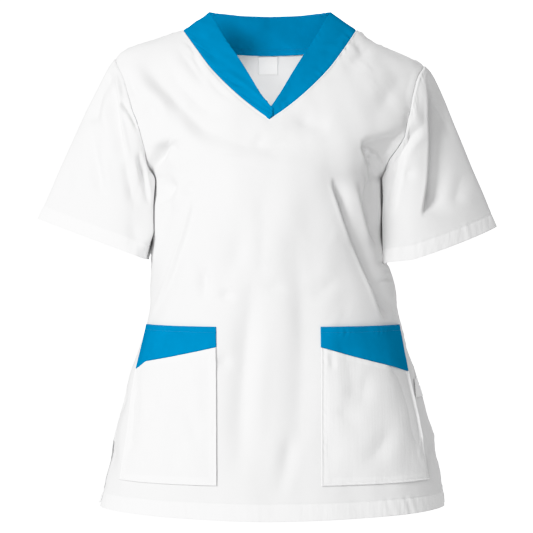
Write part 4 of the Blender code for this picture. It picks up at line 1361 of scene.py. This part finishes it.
def panel_cloth(facing):
    """A panel's form, its creased points, its outward directions and its runs."""
    form = panel_form(facing)
    normals = body_normals(form)
    across, up = grid_runs(form)
    to_side = np.minimum(across, across[:, -1:] - across)
    to_top = up[-1:] - up
    centre = across - across[:, [across.shape[1] // 2]]
    height = form[..., 2]
    seed = SEEDS[facing]
    table, view = panel_view(facing)
    out, aside = crease_moves(table, view(form), seed=0 if facing == "front" else 40)
    for number, (depth, size, stretch) in enumerate(PANEL_RIPPLES):
        out += depth * ripples(centre, up, size, seed + number, stretch)
    small = ripples(centre, up, 0.017, seed + 2, stretch=1.5)
    out += FINE_RIPPLE * small * np.clip(ripples(centre, up, 0.110, seed + 3), 0, 1.5)
    calm = soft_step(to_side / 0.012) * soft_step(to_top / 0.010)
    out *= calm
    aside *= calm[..., None]
    on_side = bell(to_side, 0.035) * soft_step((UNDERARM_Z - 0.02 - height) / 0.06)
    out += SIDE_WAVE * ripples(height, np.sign(form[..., 0]) * 0.3, 0.060, 150) * on_side
    slit = soft_step((SLIT_TOP_Z - height) / (SLIT_TOP_Z - HEM_Z)) * soft_step(1 - to_side / SLIT_REACH)
    out += slit * (SLIT_SINK if facing == "front" else SLIT_SHOW)
    out += puckers(up, to_side, seed + 10) * soft_step(to_side / 0.003)
    on_slit = soft_step((SLIT_TOP_Z + 0.03 - height) / 0.03) * soft_step(to_side / 0.004)
    out += SLIT_PUCKERS * puckers(up, to_side, seed + 40, reach=0.018, size=0.014) * on_slit
    out += puckers(centre, to_top, seed + 20) * soft_step(to_top / 0.003)
    at_armhole = soft_step((height - UNDERARM_Z) / 0.01)
    rolled = seam_roll(to_side) * (1 - at_armhole) + seam_roll(to_side, 0.0003, 0.0010) * at_armhole
    out += rolled * soft_step((height - SLIT_TOP_Z) / 0.01 + 1)
    out += seam_ridge(to_top, 0.0009)
    out += hem_marks(centre, up, sizes().hem_depth, seed + 30) * soft_step(to_side / 0.006)
    points = moved(form, normals, out, aside)
    points[..., 0] -= np.sign(form[..., 0]) * side_inset(facing, form, to_side)
    rise = HEM_RISE_MIDDLE + HEM_RISE_SIDE * (np.abs(form[..., 0]) / BODY[0][2]) ** 1.3
    points[..., 2] += rise * np.clip(1 - up / HEM_RISE_RUN, 0, 1)
    return form, points, normals, (centre, up)


def hem_share(up, hem_depth):
    return soft_step((hem_depth + 0.001 - up) / 0.002)


def panel_layers(form, centre, up):
    """Where a panel looks doubled: its hem, the slits' turned edges and beside the neck band."""
    to_side = np.abs(centre[:, -1:]) - np.abs(centre)
    open_share = soft_step((SLIT_TOP_Z + 0.004 - form[..., 2]) / 0.004)
    slit = soft_step((SLIT_MARGIN - to_side) / 0.001) * open_share
    neck = soft_step((0.0026 - (up[-1:] - up)) / 0.0008)
    return np.maximum.reduce([hem_share(up, sizes().hem_depth), slit, neck])


class TUNIC_OT_panels(Operator):
    """Makes the front and the back panels with their hems' topstitching"""

    bl_idname = "tunic.panels"
    bl_label = "Front and back"

    def execute(self, context):
        rows = []
        for facing in ("front", "back"):
            form, points, normals, (centre, up) = panel_cloth(facing)
            panel = cloth_sheet(
                f"{facing}_panel", points, (centre, up), cloth_material("white"), sizes().hem_cloth,
                hem_share(up, sizes().hem_depth), shade=panel_layers(form, centre, up),
            )
            declare_cloth(panel, facing)
            rows.append(stitch_line(points, normals, up, sizes().hem_depth))
        stitch_object("hem_stitches", rows, "white")
        return {"FINISHED"}


def sleeve_cloth(side):
    """A sleeve's creased points, its outward directions and its runs."""
    form = sleeve_form(side)
    normals = grid_normals(form, wraps=True)
    across, up = grid_runs(form)
    to_top = up[-1:] - up
    turn = 2 * np.pi * spaced(SLEEVE_ROUND_STOPS) / SLEEVE_GIRTH
    if side == "left":
        turn = turn[::-1]
    facing_front = np.sin(turn)[None, :]
    in_front = soft_step(facing_front / 0.35)
    behind = soft_step(-facing_front / 0.35)
    calm = soft_step(to_top / 0.012) * (0.35 + 0.65 * soft_step(up / 0.030))
    free = 1 - 0.9 * ((1 - np.cos(turn)) / 2)[None, :] ** 12
    front_out, front_aside = crease_moves(SLEEVE_CREASES[side], seen_from_front(form), seed=60)
    back_out, back_aside = crease_moves(SLEEVE_BACK_CREASES[side], seen_plainly(form), seed=80)
    seed = SEEDS[f"{side}_sleeve"]
    out = front_out * in_front + back_out * behind
    out += 0.0009 * ripples(form[..., 0], up, 0.10, seed, stretch=1.6)
    out += 0.0006 * ripples(form[..., 1], up, 0.06, seed + 1, stretch=1.6)
    out *= calm * free
    aside = front_aside * in_front[..., None] + back_aside * behind[..., None]
    aside *= calm[..., None]
    out += puckers(across, to_top, seed + 10) * soft_step(to_top / 0.003)
    out += seam_ridge(to_top, 0.0009, 0.0001)
    # The hem's puckers meet where the sleeve closes.
    marks = hem_marks(across, up, sizes().sleeve_hem_depth, seed + 30)
    share = across / across[:, -1:]
    step = (marks[:, -1:] - marks[:, :1]) / 2
    out += marks + step * (1 - share) ** 6 - step * share**6
    out[:, -1] = out[:, 0] = (out[:, 0] + out[:, -1]) / 2
    points = moved(form, normals, out, aside)
    points[:, -1] = points[:, 0]
    return points, normals, (across, up)


class TUNIC_OT_sleeves(Operator):
    """Makes both sleeves with their hems' topstitching"""

    bl_idname = "tunic.sleeves"
    bl_label = "Sleeves"

    def execute(self, context):
        rows = []
        depth = sizes().sleeve_hem_depth
        for side in ("right", "left"):
            points, normals, runs = sleeve_cloth(side)
            cloth, run_across, run_up = tucked_under(points, normals, runs, "last")
            sleeve = cloth_sheet(
                f"{side}_sleeve", cloth, (run_across, run_up), cloth_material("white"),
                sizes().hem_cloth, hem_share(run_up, depth), wraps=True,
            )
            declare_cloth(sleeve, f"sleeve_{side}")
            rows.append(stitch_line(points, normals, runs[1], depth))
        stitch_object("sleeve_stitches", rows, "white")
        return {"FINISHED"}


class TUNIC_OT_neck_band(Operator):
    """Makes the blue neck band with its edge stitching and the seam's topstitching"""

    bl_idname = "tunic.neck_band"
    bl_label = "Neck band"

    def execute(self, context):
        form = band_form()
        normals = grid_normals(form)
        across, up = grid_runs(form)
        to_edge = up[-1:] - up
        seed = SEEDS["band"]
        press, _ = crease_moves(BAND_CREASES, seen_from_front(form), seed=90)
        press *= soft_step(-normals[..., 1] / 0.4)
        wide, small = ripples(across, up, 0.060, seed), ripples(across, up, 0.016, seed + 1)
        press += 0.0004 * wide + 0.0001 * small
        press *= soft_step(up / 0.006)
        press += 0.9 * puckers(across, up, seed + 10, reach=0.010, size=0.011) * soft_step(up / 0.002)
        press += 0.5 * puckers(across, to_edge, seed + 20, reach=0.006, size=0.010)
        press += seam_roll(up, 0.0006, 0.0010)
        points = form + normals * press[..., None]
        cloth, *runs = tucked_under(points, normals, (across, up), "first")
        band = cloth_sheet("neck_band_cloth", cloth, runs, cloth_material("blue"), sizes().band_cloth)
        declare_cloth(band, "neck_band")
        down = to_edge[::-1]
        inner = points - normals * sizes().band_cloth
        back = slice(BAND_COLUMNS // 4 + 8, 3 * BAND_COLUMNS // 4 - 8)
        rows = (
            stitch_line(points[::-1], normals[::-1], down, BAND_EDGE_STITCH),
            stitch_line(inner, -normals, up, BAND_SEAM_STITCH),
            stitch_line(inner[::-1], -normals[::-1], down, BAND_EDGE_STITCH),
        )
        stitch_object("band_stitches", [(line[back], out[back]) for line, out in rows], "blue")
        return {"FINISHED"}


def laid_on_front(form):
    """How far the front's cloth has been moved from its form, at these points of the form."""
    panel, points, _, _ = panel_cloth("front")
    shift = points - panel
    heights = panel[:, 0, 2]
    low_rows = int(np.searchsorted(heights, UNDERARM_Z - 1e-6))
    flat = form.reshape(-1, 3)
    place = np.interp(flat[:, 2], heights[: low_rows + 1], np.arange(low_rows + 1))
    row = np.minimum(place.astype(int), low_rows - 1)
    found = np.zeros_like(flat)
    for index in np.unique(row):
        here = row == index
        part = (place[here] - index)[:, None]
        beside = []
        for level in (index, index + 1):
            order = np.argsort(panel[level, :, 0])
            beside.append(read_at(flat[here, 0], panel[level, order, 0], shift[level, order]))
        found[here] = beside[0] * (1 - part) + beside[1] * part
    return found.reshape(form.shape)


def pocket_corners(side):
    """The corners of a pocket's bag and of its top, as (x, z)."""
    row = dict(zip(POCKET_COLUMNS, POCKETS[side]))
    inner = row["inner_x"]
    join_in, join_out = (inner, row["join_in_z"]), (row["join_out_x"], row["join_out_z"])
    bag = (
        (inner, POCKET_BOTTOM_Z),
        (row["bottom_out_x"], POCKET_BOTTOM_Z),
        (join_out[0], join_out[1] - SEAM_GAP),
        (inner, join_in[1] - SEAM_GAP),
    )
    return bag, (join_in, join_out, (row["mouth_out_x"], POCKET_TOP_Z), (inner, POCKET_TOP_Z))


def patch_on_front(corners, up_stops, side, **bend):
    """A patch's form, its outward directions, its runs and how far each point is from a side."""
    shares = [spaced(stops) / stops[-1][0] for stops in (POCKET_ACROSS_STOPS, up_stops)]
    form = patch_form(corners, *shares, side, **bend)
    across, up = grid_runs(form)
    return form, body_normals(form), (across, up), np.minimum(across, across[:, -1:] - across)


def pocket_bag(side, corners):
    """Makes a pocket's white cloth, and gives its rows of stitches."""
    bend = JOIN_BEND[side]
    form, normals, (across, up), to_side = patch_on_front(corners, POCKET_UP_STOPS, side, bend_high=bend)
    to_edge = np.minimum(to_side, up)
    to_join = up[-1:] - up
    seed = SEEDS[f"{side}_pocket"]
    out, aside = crease_moves(POCKET_CREASES[side], seen_from_front(form), seed=seed)
    inside = soft_step(to_edge / 0.010)
    out += 0.0004 * ripples(across, up, 0.045, seed)
    out *= inside
    out += sizes().pocket_cloth + POCKET_STAND
    out += 0.0011 * bell(to_edge - 0.0012, 0.0011)
    out += 0.0018 * soft_step(to_edge / PUFF_RUN) * soft_step((to_join + 0.02) / 0.05)
    out += 0.00025 * soft_step((0.0105 - to_edge) / 0.001)
    out += 0.7 * puckers(up + across, to_edge, seed + 10, reach=0.010) * soft_step(to_edge / 0.002)
    out -= 0.0004 * bell(to_edge - POCKET_STITCH, 0.0010)
    out += seam_roll(to_join, 0.0004)
    points = moved(form, normals, out, aside * inside[..., None]) + laid_on_front(form)
    pressed = soft_step((0.0110 - to_edge) / 0.001)
    doubled = np.maximum(0.45, np.maximum(pressed, soft_step((0.007 - to_join) / 0.001)))
    cloth = cloth_sheet(
        f"{side}_pocket", points, (across, up), cloth_material("white"), sizes().pocket_cloth,
        shade=doubled,
    )
    declare_cloth(
        cloth, f"pocket_{side}"
    )
    from_end = (across[:, -1:] - across)[:, ::-1]
    return [
        stitch_line(points, normals, up, POCKET_STITCH),
        stitch_line(points, normals, across, POCKET_STITCH, 1),
        stitch_line(points[:, ::-1], normals[:, ::-1], from_end, POCKET_STITCH, 1),
    ]


def pocket_top(side, corners):
    """Makes a pocket's blue top, and gives its rows of stitches."""
    bend = JOIN_BEND[side]
    form, normals, (across, up), to_side = patch_on_front(corners, TOP_UP_STOPS, side, bend_low=bend)
    to_top = up[-1:] - up
    to_stitch = to_top - TOP_STITCHES[-1]
    seed = SEEDS[f"{side}_pocket"]
    out = sizes().band_cloth + SEAM_GAP + 0 * up
    out += 0.0020 * soft_step(to_side / 0.035) * soft_step((0.030 - to_top) / 0.030)
    out += 0.0003 * ripples(across, up, 0.030, seed + 40) * soft_step(to_side / 0.008)
    out += 0.6 * puckers(across, up, seed + 50, reach=0.008) * soft_step(up / 0.002)
    out += 0.5 * puckers(across, np.abs(to_stitch), seed + 60, reach=0.006)
    out -= 0.0003 * bell(to_stitch, 0.0010)
    out += seam_roll(up, 0.0004)
    points = form + normals * out[..., None] + laid_on_front(form)
    cloth = cloth_sheet(
        f"{side}_pocket_top", points, (across, up), cloth_material("blue"), sizes().band_cloth
    )
    declare_cloth(
        cloth, f"pocket_top_{side}"
    )
    return [stitch_line(points[::-1], normals[::-1], to_top[::-1], place) for place in TOP_STITCHES]


class TUNIC_OT_pockets(Operator):
    """Makes the two white patch pockets with their blue tops and all their stitching"""

    bl_idname = "tunic.pockets"
    bl_label = "Pockets"

    def execute(self, context):
        white_rows, blue_rows = [], []
        for side in ("right", "left"):
            bag, top = pocket_corners(side)
            white_rows += pocket_bag(side, bag)
            blue_rows += pocket_top(side, top)
        stitch_object("pocket_stitches", white_rows, "white")
        stitch_object("pocket_top_stitches", blue_rows, "blue")
        return {"FINISHED"}


class TUNIC_OT_labels(Operator):
    """Makes the blank neck label inside the back and the blank tag in the left side seam"""

    bl_idname = "tunic.labels"
    bl_label = "Labels"

    def execute(self, context):
        thick = sizes().label_cloth
        (left_x, right_x), (low_z, high_z) = LABEL_X, LABEL_Z
        z = np.linspace(low_z, high_z, TRIM_CELLS + 1)[:, None]
        x = np.linspace(left_x, right_x, TRIM_CELLS + 1)[None, :]
        x, z = np.broadcast_arrays(x, z)
        y = np.where(x > 0, depth_at("back", "left", x, z), depth_at("back", "right", x, z))
        form = np.stack([x, y, z], axis=2)
        across, up = grid_runs(form)
        fall = (up[-1:] - up) / up[-1:]
        press = sizes().cloth + SEAM_GAP + thick + 0.0004
        press = press + 0.0012 * fall**2 + 0.0004 * ripples(across, up, 0.020, SEEDS["label"]) * fall
        points = form - body_normals(form) * press[..., None]
        label = cloth_sheet("neck_label_cloth", points, (across, up), cloth_material("label"), thick)
        declare_cloth(label, "neck_label")

        z = np.linspace(*TAG_Z, TRIM_CELLS + 1)[:, None]
        edge = body_width("left", z)
        x = TAG_X + (edge * 0.9995 - TAG_X) * np.linspace(0, 1, TRIM_CELLS + 1)[None, :] ** 0.6
        z = np.broadcast_to(z, x.shape)
        form = np.stack([x, np.minimum(depth_at("front", "left", x, z), -0.0006), z], axis=2)
        across, up = grid_runs(form)
        lifted = (across[:, -1:] - across) / across[:, -1:]
        out = thick + SEAM_GAP + 0.0010 * lifted**2
        points = form + body_normals(form) * out[..., None] + laid_on_front(form)
        tag = cloth_sheet("side_tag_cloth", points, (across, up), cloth_material("label"), thick)
        declare_cloth(tag, "side_tag")
        return {"FINISHED"}


# ---------------------------------------------------------------------------------------------
# Stage
# ---------------------------------------------------------------------------------------------

FLOOR_Z = -1.5
FLOOR_RADIUS = 3.0
WORLD_GLOW = 0.38
WORLD_SEEN = 1.8
# How the photo's film shows light: (light, shown), up to the light that shows as pure white.
TONE_WHITE = 2.0
TONE_POINTS = (
    (0.30, 0.30), (0.60, 0.60), (0.75, 0.735), (0.90, 0.840), (1.10, 0.930), (1.30, 0.974), (1.60, 1.0)
)


MIDDLE = (0.0, 0.0, CAMERA_Z)
# Name, place, aim, width and power of each soft light.
SOFT_LIGHTS = (
    ("key", (-1.9, -2.3, 0.75), MIDDLE, 1.1, 78),
    ("front", (-0.45, -2.3, 0.25), MIDDLE, 0.7, 7.5),
    ("fill", (1.8, -2.3, 0.0), MIDDLE, 1.6, 3),
    ("back", (0.4, 2.4, 1.2), MIDDLE, 1.8, 40),
    ("rim", (2.4, 1.3, 0.2), (0.2, 0.0, -0.2), 1.2, 12),
)
# Name, place, aim and power of the narrow lights on the inside of the back, seen through the V.
NECK_LIGHTS = (
    ("inside_neck", (0.0, -0.06, -0.14), (0.0, 0.09, -0.066), 0.80),
    ("inside_band", (0.045, 0.0, -0.02), (-0.07, 0.03, 0.012), 0.60),
)
NECK_LIGHT_ANGLE = math.radians(38)


def add_light(name, kind, place, aim, power):
    data = bpy.data.lights.new(name, kind)
    data.energy = power
    lamp = add_object(name, data)
    lamp.location = place
    lamp.rotation_euler = (Vector(aim) - Vector(place)).to_track_quat("-Z", "Y").to_euler()
    return data


def studio_world():
    """White where the camera looks past the tunic, and a softer white as light."""
    world = bpy.data.worlds.new("studio")
    bpy.context.scene.world = world
    world.use_nodes = True
    tree = world.node_tree
    tree.nodes.clear()
    glow, seen = (
        node(tree, "ShaderNodeBackground", Color=(1.0, 1.0, 1.0, 1.0), Strength=strength)
        for strength in (WORLD_GLOW, WORLD_SEEN)
    )
    path = node(tree, "ShaderNodeLightPath")
    mix = node(
        tree, "ShaderNodeMixShader",
        {0: (path, "Is Camera Ray"), 1: (glow, "Background"), 2: (seen, "Background")},
    )
    node(tree, "ShaderNodeOutputWorld", {"Surface": (mix, "Shader")})


def tone_curve(view):
    """Leaves the dark and middle tones as they are, and rolls the whites off softly."""
    view.view_transform = "Standard"
    view.look = "None"
    view.use_curve_mapping = True
    curves = view.curve_mapping
    curves.white_level = (TONE_WHITE, TONE_WHITE, TONE_WHITE)
    whole = curves.curves[3]
    for light, shown in TONE_POINTS:
        whole.points.new(light / TONE_WHITE, shown)
    whole.points[0].location = (0, 0)
    whole.points[-1].location = (1, 1)
    curves.update()


class TUNIC_OT_stage(Operator):
    """Makes the floor, the lights, the camera and the pale surroundings"""

    bl_idname = "tunic.stage"
    bl_label = "Stage"

    def execute(self, context):
        scene = context.scene
        mesh = bmesh.new()
        bmesh.ops.create_circle(
            mesh, cap_ends=True, segments=96, radius=FLOOR_RADIUS,
            matrix=Matrix.Translation((0, 0, FLOOR_Z)),
        )
        colour = (*colours().floor, 1.0)
        material, _, _ = new_surface("studio_floor", Base_Color=colour, Roughness=0.9)
        floor = add_mesh("floor", mesh, material)
        studio_world()
        for name, place, aim, width, power in SOFT_LIGHTS:
            light = add_light(name, "AREA", place, aim, power)
            light.shape = "DISK"
            light.size = width
        for name, place, aim, power in NECK_LIGHTS:
            light = add_light(name, "SPOT", place, aim, power)
            light.spot_size = NECK_LIGHT_ANGLE
            light.spot_blend = 0.45
            light.shadow_soft_size = 0.03
        lens = bpy.data.cameras.new("camera")
        lens.lens = LENS_MM
        lens.sensor_width = SENSOR_MM
        camera = add_object("camera", lens)
        camera.location = (CAMERA_X, CAMERA_Y, CAMERA_Z)
        camera.rotation_euler = (math.pi / 2, 0, 0)
        scene.camera = camera
        tone_curve(scene.view_settings)
        return {"FINISHED"}


STEPS = (
    TUNIC_OT_stage,
    TUNIC_OT_panels,
    TUNIC_OT_sleeves,
    TUNIC_OT_neck_band,
    TUNIC_OT_pockets,
    TUNIC_OT_labels,
)


class TUNIC_PT_sidebar(Panel):
    """Lists the tunic's sizes, colours and pieces"""

    bl_idname = "TUNIC_PT_sidebar"
    bl_label = "Medical tunic"
    bl_space_type = "VIEW_3D"
    bl_region_type = "UI"
    bl_category = "Tunic"

    def draw(self, context):
        layout = self.layout
        for group in (sizes(), colours()):
            for name in group.bl_rna.properties.keys():
                if name not in ("rna_type", "name"):
                    layout.prop(group, name)
        for step in STEPS:
            layout.operator(step.bl_idname)


CLASSES = (TunicSizes, TunicColours, *STEPS, TUNIC_PT_sidebar)


def register():
    for item in CLASSES:
        bpy.utils.register_class(item)
    bpy.types.Scene.tunic_sizes = PointerProperty(type=TunicSizes)
    bpy.types.Scene.tunic_colours = PointerProperty(type=TunicColours)


def unregister():
    del bpy.types.Scene.tunic_colours
    del bpy.types.Scene.tunic_sizes
    for item in reversed(CLASSES):
        bpy.utils.unregister_class(item)


def main():
    register()
    bpy.ops.tunic.stage()
    bpy.ops.tunic.panels()
    bpy.ops.tunic.sleeves()
    bpy.ops.tunic.neck_band()
    bpy.ops.tunic.pockets()
    bpy.ops.tunic.labels()


if __name__ == "__main__":
    main()
